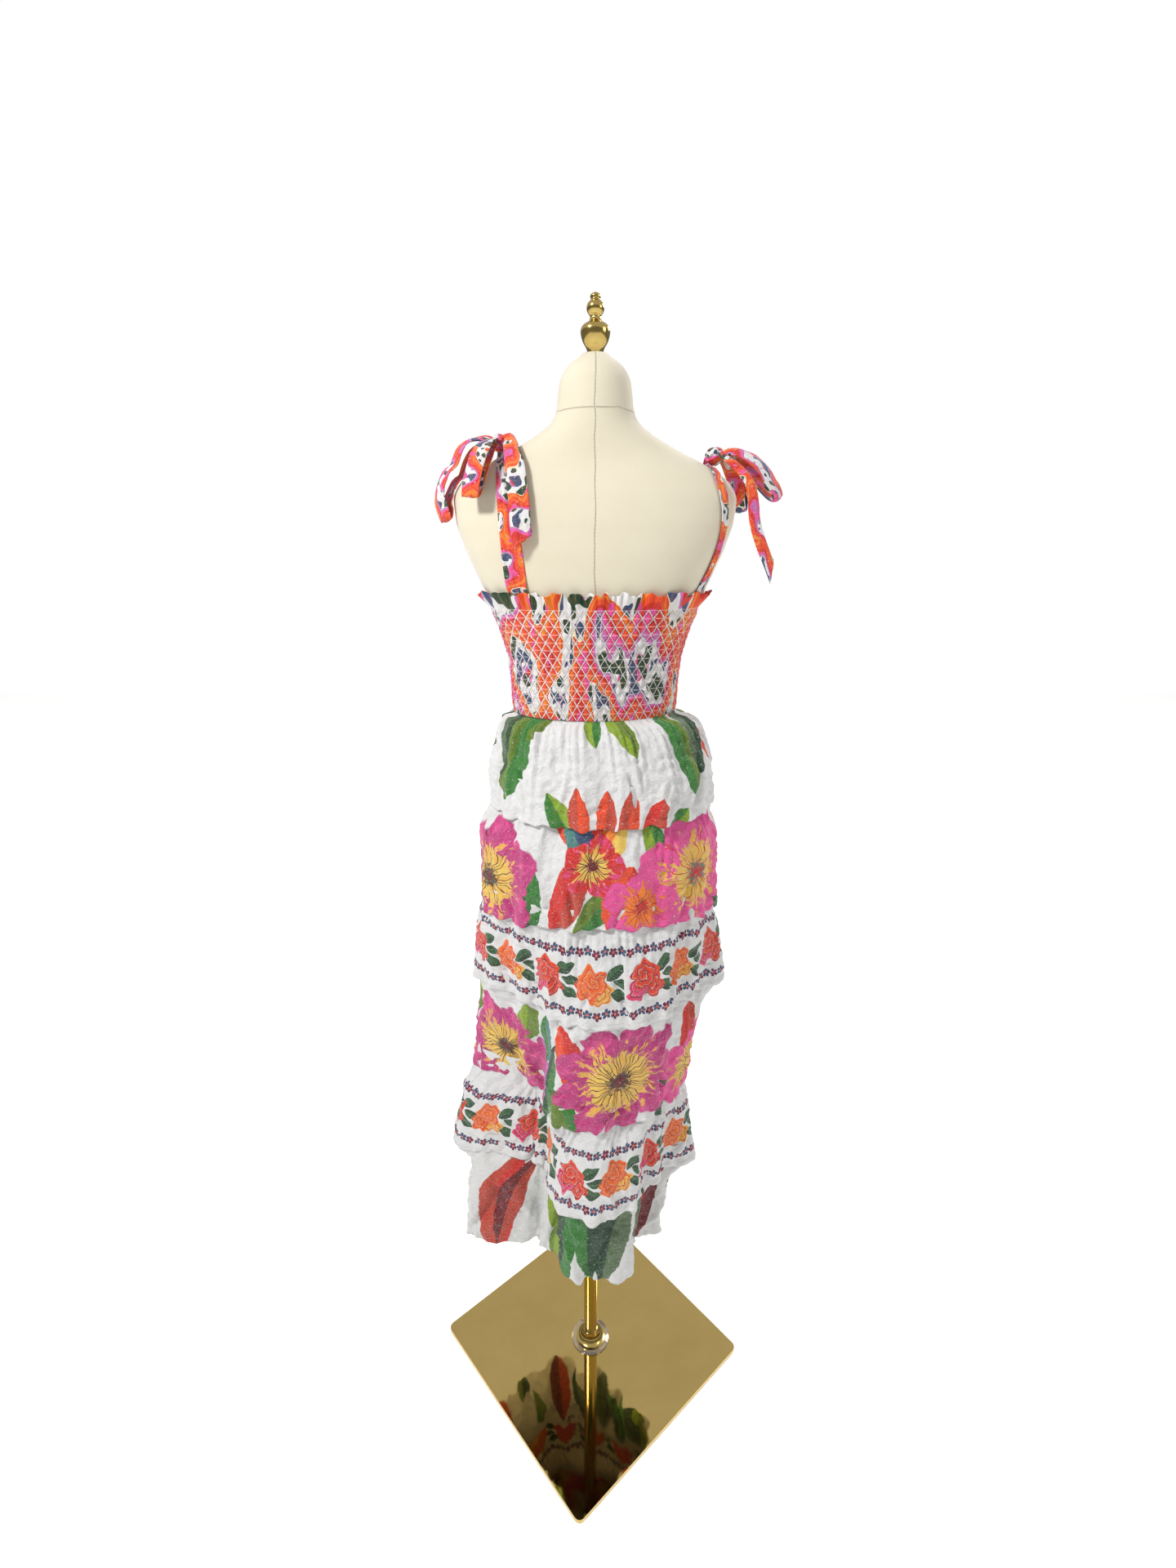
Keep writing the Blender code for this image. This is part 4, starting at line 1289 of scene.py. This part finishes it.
# %% Tier sizes and listed creases
TIER_COLUMNS = 230
TIER_ROWS = 56
SEAM_TUCK = 0.005
SEAM_OFF_FORM = 0.0013
SEAM_BLEND = 0.006
CRUMPLE_SIZES = (0.034, 0.018, 0.0075)
CRUMPLE_DEPTHS = (0.0052, 0.0056, 0.0007)
CREASE_STRENGTH = 1.9
HOLLOW_AT_HEM = 0.0036
HOLLOW_MORE_ABOVE = 0.003
LENGTH_BETWEEN_HALVES = 0.13
TIERS = {
    # tier: cloth, record's slot, gathers all round, gather depth, gather length, hem ripple
    1: (leafy_voile, "bold_print", 72, 0.0050, 0.075, 0.0018),
    2: (bloom_voile, "bold_print", 66, 0.0028, 0.075, 0.0024),
    3: (rose_voile, "border_print", 80, 0.0042, 0.065, 0.0028),
    4: (wide_bloom_voile, "bold_print", 62, 0.0028, 0.080, 0.0024),
    5: (late_rose_voile, "border_print", 76, 0.0040, 0.065, 0.0032),
    6: (dusk_voile, "bold_print", 52, 0.0030, 0.090, 0.0030),
}
CREASES = {
    # tier: (turn in degrees, share of the way down, lean in degrees, length, half width, depth)
    1: ((200, 0.62, 14, 0.070, 0.0034, -0.0030), (222, 0.70, -18, 0.080, 0.0040, -0.0036),
        (247, 0.60, 8, 0.060, 0.0030, 0.0026), (268, 0.78, 62, 0.055, 0.0028, -0.0022),
        (289, 0.64, -10, 0.085, 0.0036, -0.0034), (306, 0.80, 40, 0.045, 0.0030, 0.0022),
        (331, 0.66, 20, 0.075, 0.0036, -0.0030), (346, 0.74, -24, 0.050, 0.0028, 0.0024)),
    2: ((196, 0.72, 10, 0.075, 0.0036, -0.0032), (214, 0.80, -34, 0.060, 0.0030, 0.0026),
        (238, 0.76, 66, 0.070, 0.0030, -0.0024), (256, 0.70, -6, 0.085, 0.0040, -0.0036),
        (281, 0.84, 30, 0.060, 0.0030, -0.0026), (300, 0.72, -14, 0.070, 0.0034, 0.0028),
        (322, 0.78, 12, 0.080, 0.0036, -0.0034), (343, 0.82, -48, 0.050, 0.0028, -0.0022)),
    3: ((204, 0.66, -12, 0.080, 0.0038, -0.0034), (229, 0.78, 16, 0.070, 0.0036, -0.0040),
        (244, 0.62, -6, 0.060, 0.0030, 0.0028), (263, 0.74, 24, 0.055, 0.0030, -0.0026),
        (284, 0.68, -16, 0.075, 0.0034, -0.0030), (312, 0.72, 10, 0.080, 0.0038, -0.0036),
        (336, 0.80, -30, 0.060, 0.0032, 0.0026)),
    4: ((198, 0.60, 18, 0.100, 0.0040, -0.0036), (212, 0.80, -12, 0.080, 0.0036, 0.0030),
        (252, 0.66, 80, 0.060, 0.0026, -0.0022), (266, 0.78, 76, 0.080, 0.0028, -0.0026),
        (279, 0.70, -70, 0.070, 0.0028, 0.0024), (293, 0.84, 84, 0.060, 0.0026, -0.0024),
        (318, 0.72, -14, 0.090, 0.0036, -0.0034), (340, 0.66, 10, 0.085, 0.0036, -0.0030)),
    5: ((192, 0.70, -20, 0.070, 0.0036, -0.0034), (210, 0.76, 14, 0.075, 0.0034, 0.0030),
        (250, 0.68, -8, 0.070, 0.0036, -0.0034), (270, 0.80, 28, 0.050, 0.0030, -0.0028),
        (291, 0.72, -22, 0.065, 0.0032, 0.0028), (316, 0.78, 12, 0.075, 0.0036, -0.0036),
        (344, 0.70, 26, 0.060, 0.0032, -0.0028)),
    6: ((200, 0.62, 12, 0.110, 0.0044, -0.0044), (217, 0.72, -10, 0.090, 0.0040, 0.0036),
        (254, 0.70, 8, 0.100, 0.0042, -0.0042), (276, 0.76, -14, 0.090, 0.0040, 0.0034),
        (298, 0.68, 16, 0.100, 0.0040, -0.0040), (324, 0.74, -8, 0.090, 0.0042, -0.0040),
        (347, 0.66, 14, 0.080, 0.0036, 0.0032)),
}


def seen_creases(tier):
    """The table's creases behind, and like ones in front, turned about half round and changed."""
    for turn, share, lean, length, width, depth in CREASES[tier]:
        yield math.radians(turn), share, math.radians(lean), length, width, depth
        lower = min(0.86, share + 0.05)
        turn, lean = math.radians(turn - 171), math.radians(-lean + 6)
        yield turn, lower, lean, length * 0.9, width, depth * 0.9


# %% Fold functions
def gathers(turns, count, seed):
    """Uneven gathers round the body, from about -1 to 1, with sharper ridges than hollows."""
    wander = 1.5 * np.sin(3 * turns + seed) + 1.1 * np.sin(7 * turns + 2.1 * seed)
    wander = wander + 0.7 * np.sin(13 * turns + 3.3 * seed)
    fine = np.cos(count * turns + wander)
    coarse = np.cos(int(count * 0.41) * turns + 1.3 * wander + seed)
    size = 0.65 + 0.35 * np.sin(11 * turns + 1.7 * seed)
    ridge = 1.0 - 2.0 * np.abs(np.sin((int(count * 0.7) * turns + wander) / 2.0))
    return size * (0.50 * fine + 0.40 * coarse + 0.30 * ridge)


def crease_push(turns, radius, heights, top, low, tier):
    """All the listed creases of a tier at each point of its grid."""
    push = np.zeros(heights.shape)
    for turn, share, lean, length, width, depth in seen_creases(tier):
        across = ((turns - turn + math.pi) % (2 * math.pi) - math.pi)[None, :] * radius
        up = heights - (top + (low - top) * share)
        along = across * math.sin(lean) + up * math.cos(lean)
        beside = across * math.cos(lean) - up * math.sin(lean)
        bowed = beside + 4 * 0.06 * along ** 2 / length
        taper = np.clip(1 - (along / (length / 2)) ** 2, 0, 1)
        valley = np.exp(-((bowed / width) ** 2))
        valley = valley - 0.45 * np.exp(-(((bowed - 2.2 * width) / (1.3 * width)) ** 2))
        push += depth * taper * valley
    return push


# %% Cutting a tier
def tier_shape(tier):
    """A tier's smooth radii, middles and hem, from both of its solids."""
    names = [f"tier_{tier}_back", f"tier_{tier}_front"]
    boxes = [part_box(name) for name in names]
    low, high = min(b[0].z for b in boxes), max(b[1].z for b in boxes)
    heights, middles, radii, lowest = ray_table(names, low, high)
    radii = soft(radii, 3.0, 4.5)
    middles = soft(middles[:, None], 4.0, 0)[:, 0]
    lowest = soft(lowest[None, :], 0, 6.0)[0]
    return heights, middles, radii, lowest


def half_turns(middles, radii, first, last):
    """Turns from seam to seam with even steps of cloth between them, measured low on the tier."""
    row = int(len(radii) * 0.75)
    fine = np.linspace(first, last, 1200)
    radius = np.interp(fine, TURNS, radii[row], period=2 * math.pi)
    line = np.stack([radius * np.cos(fine), radius * np.sin(fine)], axis=1)
    run = np.concatenate([[0], np.cumsum(np.linalg.norm(np.diff(line, axis=0), axis=1))])
    even = np.linspace(0, run[-1], TIER_COLUMNS + 1)
    return np.interp(even, run, fine), even


def build_tier(tier, side, shape, start, upper_hem):
    """One half of a tier, and its width. start is where its cloth begins on the roll of print."""
    material, slot, count, gather_depth, gather_length, ripple = TIERS[tier]
    heights, middles, radii, lowest = shape
    first, last = SIDE_SEAMS[side]
    turns, even = half_turns(middles, radii, first, last)
    top = heights[0]
    hem = np.interp(turns, TURNS, lowest, period=2 * math.pi)
    hem = hem + 0.0014 * np.sin(23 * turns + tier) + 0.0010 * np.sin(41 * turns + 2 * tier)
    share = (np.arange(TIER_ROWS + 1) / TIER_ROWS)[:, None]
    z = top + (hem[None, :] - top) * share
    columns = np.array([np.interp(turns, TURNS, line, period=2 * math.pi) for line in radii])
    radius = np.array([
        np.interp(z[:, j], heights[::-1], columns[::-1, j]) for j in range(len(turns))
    ]).T
    middle = np.interp(z, heights[::-1], middles[::-1])
    if not upper_hem:
        z = z + SEAM_TUCK * (1 - share) ** 8
        under = np.array([form_radius(line[0], turns) for line in z]) + SEAM_OFF_FORM
        tucked = np.clip((z - (top - SEAM_BLEND)) / SEAM_BLEND, 0, 1) ** 0.7
        radius = radius * (1 - tucked) + under * tucked
    grid = np.stack([middle + radius * np.cos(turns), radius * np.sin(turns), z], axis=2)

    shown = (upper_hem + 0.020 - z) / 0.030 if upper_hem else (top - z) / 0.010
    shown = np.clip(shown, 0, 1)
    length = gather_length * (0.65 + 0.35 * np.sin(17 * turns + tier * 2.3))
    below = np.maximum(0, (upper_hem or top) - z)
    fade = 0.16 + 0.84 * np.exp(-((below / length) ** 2))
    push = gather_depth * (gathers(turns, count, tier * 1.7) + 0.25) * fade * shown
    broad, ridged, fine = CRUMPLE_SIZES
    crumple = cloth_noise(grid, broad, tier, (1, 1, 0.6)) * CRUMPLE_DEPTHS[0]
    ridges = 0.28 - np.abs(cloth_noise(grid, ridged, tier + 9, (1, 1, 1.2)))
    crumple += ridges * CRUMPLE_DEPTHS[1]
    crumple += cloth_noise(grid, fine, tier + 21) * CRUMPLE_DEPTHS[2]
    push += crumple * shown
    creases = crease_push(turns, radius, z, upper_hem or top, float(lowest.min()), tier)
    push += CREASE_STRENGTH * creases * shown
    apart = np.clip((z - hem) / 0.060, 0, 1)
    push = np.maximum(push, -HOLLOW_AT_HEM - HOLLOW_MORE_ABOVE * apart)
    flare = np.clip(1 - (z - hem) / 0.045, 0, 1) ** 1.5
    push += ripple * np.cos(27 * turns + 1.6 * np.sin(5 * turns + tier)) * flare
    push += 0.0005 * (np.clip(1 - (z - hem) / HEM_TURN, 0, 1) > 0)
    grid = grid + outward(grid) * push[:, :, None]

    flat = np.stack([np.broadcast_to(even + start, z.shape), z - hem[None, :]], axis=2)
    made = sheet_from(f"tier_{tier}_{side}_cloth", grid, flat, material)
    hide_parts(f"tier_{tier}_{side}")
    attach(made, "root")
    return float(even[-1])


upper_hem = None
for tier in TIERS:
    shape = tier_shape(tier)
    start = 0.0
    for side in ("back", "front"):
        width = build_tier(tier, side, shape, start, upper_hem)
        start += width + LENGTH_BETWEEN_HALVES
    upper_hem = float(shape[3].mean())
    print(f"tier {tier}: {width:.3f} m across the front, hem at {upper_hem:.3f} m")

# %% [markdown]
# ## Straps and bows
#
# A strap is a narrow band of doubled cloth, drawn up where it is tied. It is laid along a smooth
# path, and its width is filled with a few long folds that get deeper where the band is pinched.
# The bow's loops are the same band, taken out from the knot and back again.

# %% A ribbon along a path
RIBBON_ACROSS = 18
RIBBON_THICK = 0.0010


def open_path(points, steps):
    """A smooth curve that runs straight at its ends."""
    return smooth_path(points, points[0] * 2 - points[1], points[-1] * 2 - points[-2], steps)


def evenly(points, count):
    """The same path with this many points, at even steps along it."""
    runs = np.concatenate([[0], np.cumsum([(b - a).length for a, b in zip(points, points[1:])])])
    stack = np.array(points)
    wanted = np.linspace(0, runs[-1], count)
    return [Vector([np.interp(w, runs, axis) for axis in stack.T]) for w in wanted]


def ribbon(name, path, normals, widths, folds, depth, cup, seed, node, slant=0.0):
    """A band of cloth. Each normal points away from what the band lies on."""
    count = len(path)
    across = np.linspace(-0.5, 0.5, RIBBON_ACROSS + 1)
    widest = max(widths)
    grid, flat, run = [], [], 0.0
    for i, (p, n, w) in enumerate(zip(path, normals, widths)):
        before, after = path[max(i - 1, 0)], path[min(i + 1, count - 1)]
        along = (after - before).normalized()
        n = (n - along * n.dot(along)).normalized()
        side = along.cross(n)
        run += (p - path[i - 1]).length if i else 0.0
        drawn = 1.0 - w / widest
        phase = seed + 0.9 * math.sin(run * 38 + seed)
        crumple = noise.noise(Vector((run * 60, seed, 0))) * 0.6
        line = []
        for s in across:
            wave = math.cos(2 * math.pi * folds * s + phase + crumple)
            lift = depth * (0.45 + 1.1 * drawn) * (wave + 1) / 2 + cup * (0.25 - s * s) * 4
            lift += 0.0008 * noise.noise(Vector((s * 7, run * 90, seed)))
            lean = along * slant * s * 2 if i > count - 4 else Vector()
            line.append(p + side * (s * w) + n * lift + lean)
        grid.append(line)
        flat.append([(s * widest + seed * 0.4, run + seed * 0.07) for s in across])
    grid = np.array(grid)[:, ::-1]
    flat = np.array(flat)[:, ::-1]
    made = sheet_from(name, grid, flat, strap_print, RIBBON_THICK)
    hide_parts(node)
    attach(made, "root")
    return made


def off_form(p, ease):
    """The point, moved out if it is nearer the form than ease."""
    hit, normal, _, _ = form_surface.find_nearest(p)
    gap = (p - hit).dot(normal)
    return p + normal * (ease - gap) if gap < ease else p


# %% The four strap halves
STRAP_EASE = 0.0014
STRAP_POINTS = 64
STRAP_FOLD_DEPTH = 0.0016
STRAP_SEEDS = {"left": 1.3, "right": 4.1}
STRAPS = {
    # side: across at the shoulder, at the bodice, bulge, width at the bodice, at the knot, folds
    "left": (-0.106, -0.089, 0.000, 0.028, 0.015, 3.0),
    "right": (0.145, 0.130, 0.021, 0.013, 0.012, 1.5),
}


def strap_path(which, side):
    """Points on the form from the frill up to the shoulder line."""
    top_x, foot_x, bulge = STRAPS[which][:3]
    low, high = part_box(f"strap_{side}_{which}")
    facing = -1.0 if side == "back" else 1.0
    fine = []
    for i in range(100):
        rise = math.sin(math.pi / 2 * i / 100)
        height = low.z + 0.0005 + (high.z - 0.004 - low.z) * rise
        x = foot_x + (top_x - foot_x) * rise
        x += math.copysign(bulge, top_x) * math.sin(math.pi * rise)
        outside = Vector((x, facing * RAY_REACH, height))
        hit = form_surface.ray_cast(outside, Vector((0, -facing, 0)))[0]
        if hit:
            fine.append(hit)
    path = evenly(fine, STRAP_POINTS)
    normals = [form_surface.find_nearest(p)[1] for p in path]
    for _ in range(6):
        before, after = normals[:1] + normals, normals[1:] + normals[-1:]
        normals = [(a + b * 2 + c).normalized() for a, b, c in zip(before, normals, after)]
    return [p + n * STRAP_EASE for p, n in zip(path, normals)], normals


for which, (_, _, _, foot_width, top_width, folds) in STRAPS.items():
    for side in SIDE_SEAMS:
        path, normals = strap_path(which, side)
        shares = [i / (len(path) - 1) for i in range(len(path))]
        widths = [foot_width + (top_width - foot_width) * share ** 1.4 for share in shares]
        strap = ribbon(
            f"strap_{side}_{which}_cloth", path, normals, widths, folds, STRAP_FOLD_DEPTH, 0.0,
            STRAP_SEEDS[which], f"strap_{side}_{which}",
        )
    print(strap.name, len(strap.data.polygons), "faces")

# %% The bows
BOW_PIECES = (
    # name, width, half spread of a loop or 0 for a tail, slant of the end, facing,
    # points from the knot's centre
    ("loop_a_left", 0.025, 0.0080, 0.0, (-0.60, -0.45, 0.60),
     ((-0.022, 0.000, 0.002), (-0.042, -0.006, -0.008),
      (-0.056, -0.012, -0.046), (-0.062, -0.018, -0.084))),
    ("loop_b_left", 0.022, 0.0060, 0.0, (-0.25, -0.80, 0.50),
     ((-0.009, -0.022, -0.002), (-0.018, -0.052, -0.022), (-0.028, -0.074, -0.064))),
    ("tail_a_left", 0.024, 0.0, 0.007, (0.00, -1.00, 0.30),
     ((0.012, -0.018, 0.002), (0.021, -0.044, -0.026),
      (0.028, -0.072, -0.070), (0.032, -0.086, -0.119))),
    ("tail_b_left", 0.020, 0.0, -0.007, (0.00, 1.00, 0.30),
     ((-0.001, 0.022, 0.001), (-0.003, 0.052, -0.030),
      (-0.004, 0.078, -0.070), (-0.004, 0.094, -0.112))),
    ("loop_a_right", 0.024, 0.0075, 0.0, (0.40, -0.65, 0.60),
     ((0.020, -0.006, 0.002), (0.046, -0.012, -0.014), (0.074, -0.018, -0.047))),
    ("loop_b_right", 0.022, 0.0065, 0.0, (0.50, 0.60, 0.60),
     ((0.016, 0.018, 0.002), (0.036, 0.038, -0.020), (0.044, 0.050, -0.056))),
    ("tail_a_right", 0.015, 0.0, 0.012, (0.25, -0.95, 0.10),
     ((0.008, -0.021, -0.004), (0.037, -0.036, -0.034),
      (0.048, -0.038, -0.085), (0.071, -0.038, -0.137))),
    ("tail_b_right", 0.018, 0.0, 0.006, (0.10, 1.00, 0.30),
     ((-0.004, 0.021, 0.000), (-0.002, 0.050, -0.026),
      (-0.004, 0.060, -0.066), (-0.008, 0.068, -0.108))),
)
BOW_EASE = 0.0045
BOW_START = 0.007
PINCH = 0.42
ROUTE_POINTS = 44
LOOP_POINTS = 96


def spaced(values, count):
    """A list drawn out to this many values, each the nearest in its place."""
    return [values[round(i * (len(values) - 1) / (count - 1))] for i in range(count)]


def build_bow_piece(name, width, spread, slant, facing, points, seed):
    """A loop or a tail that starts inside the knot's folds."""
    low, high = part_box("knot_left" if name.endswith("left") else "knot_right")
    centre = (low + high) / 2
    start = centre + Vector(points[0]).normalized() * BOW_START
    route = evenly(open_path([start] + [centre + Vector(p) for p in points], 8), ROUTE_POINTS)
    shares = [i / (ROUTE_POINTS - 1) for i in range(ROUTE_POINTS)]
    facing = Vector(facing).normalized()
    ease = BOW_EASE + width * 0.25
    route = [p if share < 0.15 else off_form(p, ease) for p, share in zip(route, shares)]
    widths = [width * (PINCH + (1 - PINCH) * min(1.0, 2.2 * share) ** 0.8) for share in shares]
    cloth = name + "_cloth"
    if not spread:
        normals = [facing] * ROUTE_POINTS
        return ribbon(cloth, route, normals, widths, 1.5, 0.0022, 0.0016, seed, name, slant)
    opened = [math.sin(math.pi * min(1.0, share * 0.85)) for share in shares]
    opened = [spread * (0.25 + 0.75 * share) for share in opened]
    near = [p - facing * s for p, s in zip(route, opened)]
    far = [p + facing * s for p, s in zip(route, opened)]
    outwards = (route[-1] - route[-2]).normalized()
    tip = (near[-1] + far[-1]) / 2 + outwards * opened[-1] * 1.1
    path = far + [tip] + near[::-1]
    path = evenly(open_path(path[::4], 6), LOOP_POINTS)
    normals = [facing] * (ROUTE_POINTS - 1)
    normals += [(facing + outwards).normalized(), outwards, (outwards - facing).normalized()]
    normals = spaced(normals + [-facing] * (ROUTE_POINTS - 1), LOOP_POINTS)
    widths = spaced(widths + [width] + widths[::-1], LOOP_POINTS)
    return ribbon(cloth, path, normals, widths, 1.0, 0.0018, 0.0012, seed, name)


for number, piece in enumerate(BOW_PIECES):
    bow = build_bow_piece(*piece, 0.8 + 1.37 * number)
    print(bow.name, len(bow.data.polygons), "faces")

# %% [markdown]
# ## The knots
#
# A knot is a few turns of the band pulled tight, so it is a small rounded block with deep folds
# across it. A sphere is a good start: it is scaled to the CAD knot, and its surface is pushed in
# along slanting grooves.

# %% The two knots
KNOT_FOLDS = 5
KNOT_CLOTH = (0.07, 0.04)


def build_knot(which, seed):
    """A rounded block with grooves wound round it."""
    low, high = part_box(f"knot_{which}")
    centre, size = (low + high) / 2, (high - low) / 2
    bpy.ops.mesh.primitive_uv_sphere_add(segments=64, ring_count=40, radius=1.0, location=(0, 0, 0))
    made = bpy.context.object
    made.name = f"knot_{which}_cloth"
    for vertex in made.data.vertices:
        p = vertex.co
        wraps = math.atan2(p.z, p.y) + 1.1 * p.x + seed
        groove = abs(math.sin(wraps * KNOT_FOLDS / 2)) ** 0.6
        crumple = noise.noise(p * 2.3 + Vector((seed, 0, 0)))
        far = 0.82 + 0.24 * groove + 0.10 * crumple
        vertex.co = Vector((p.x * size.x, p.y * size.y, p.z * size.z)) * far + centre
    layer = made.data.uv_layers.active
    layer.name = "cloth"
    for item in layer.data:
        item.uv = (item.uv[0] * KNOT_CLOTH[0] + seed, item.uv[1] * KNOT_CLOTH[1])
    made.data.materials.append(strap_print)
    made.data.shade_smooth()
    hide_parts(f"knot_{which}")
    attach(made, "root")
    bpy.ops.object.select_all(action="DESELECT")
    return made


for which, seed in (("left", 0.4), ("right", 2.2)):
    knot = build_knot(which, seed)
    print(knot.name, len(knot.data.polygons), "faces")
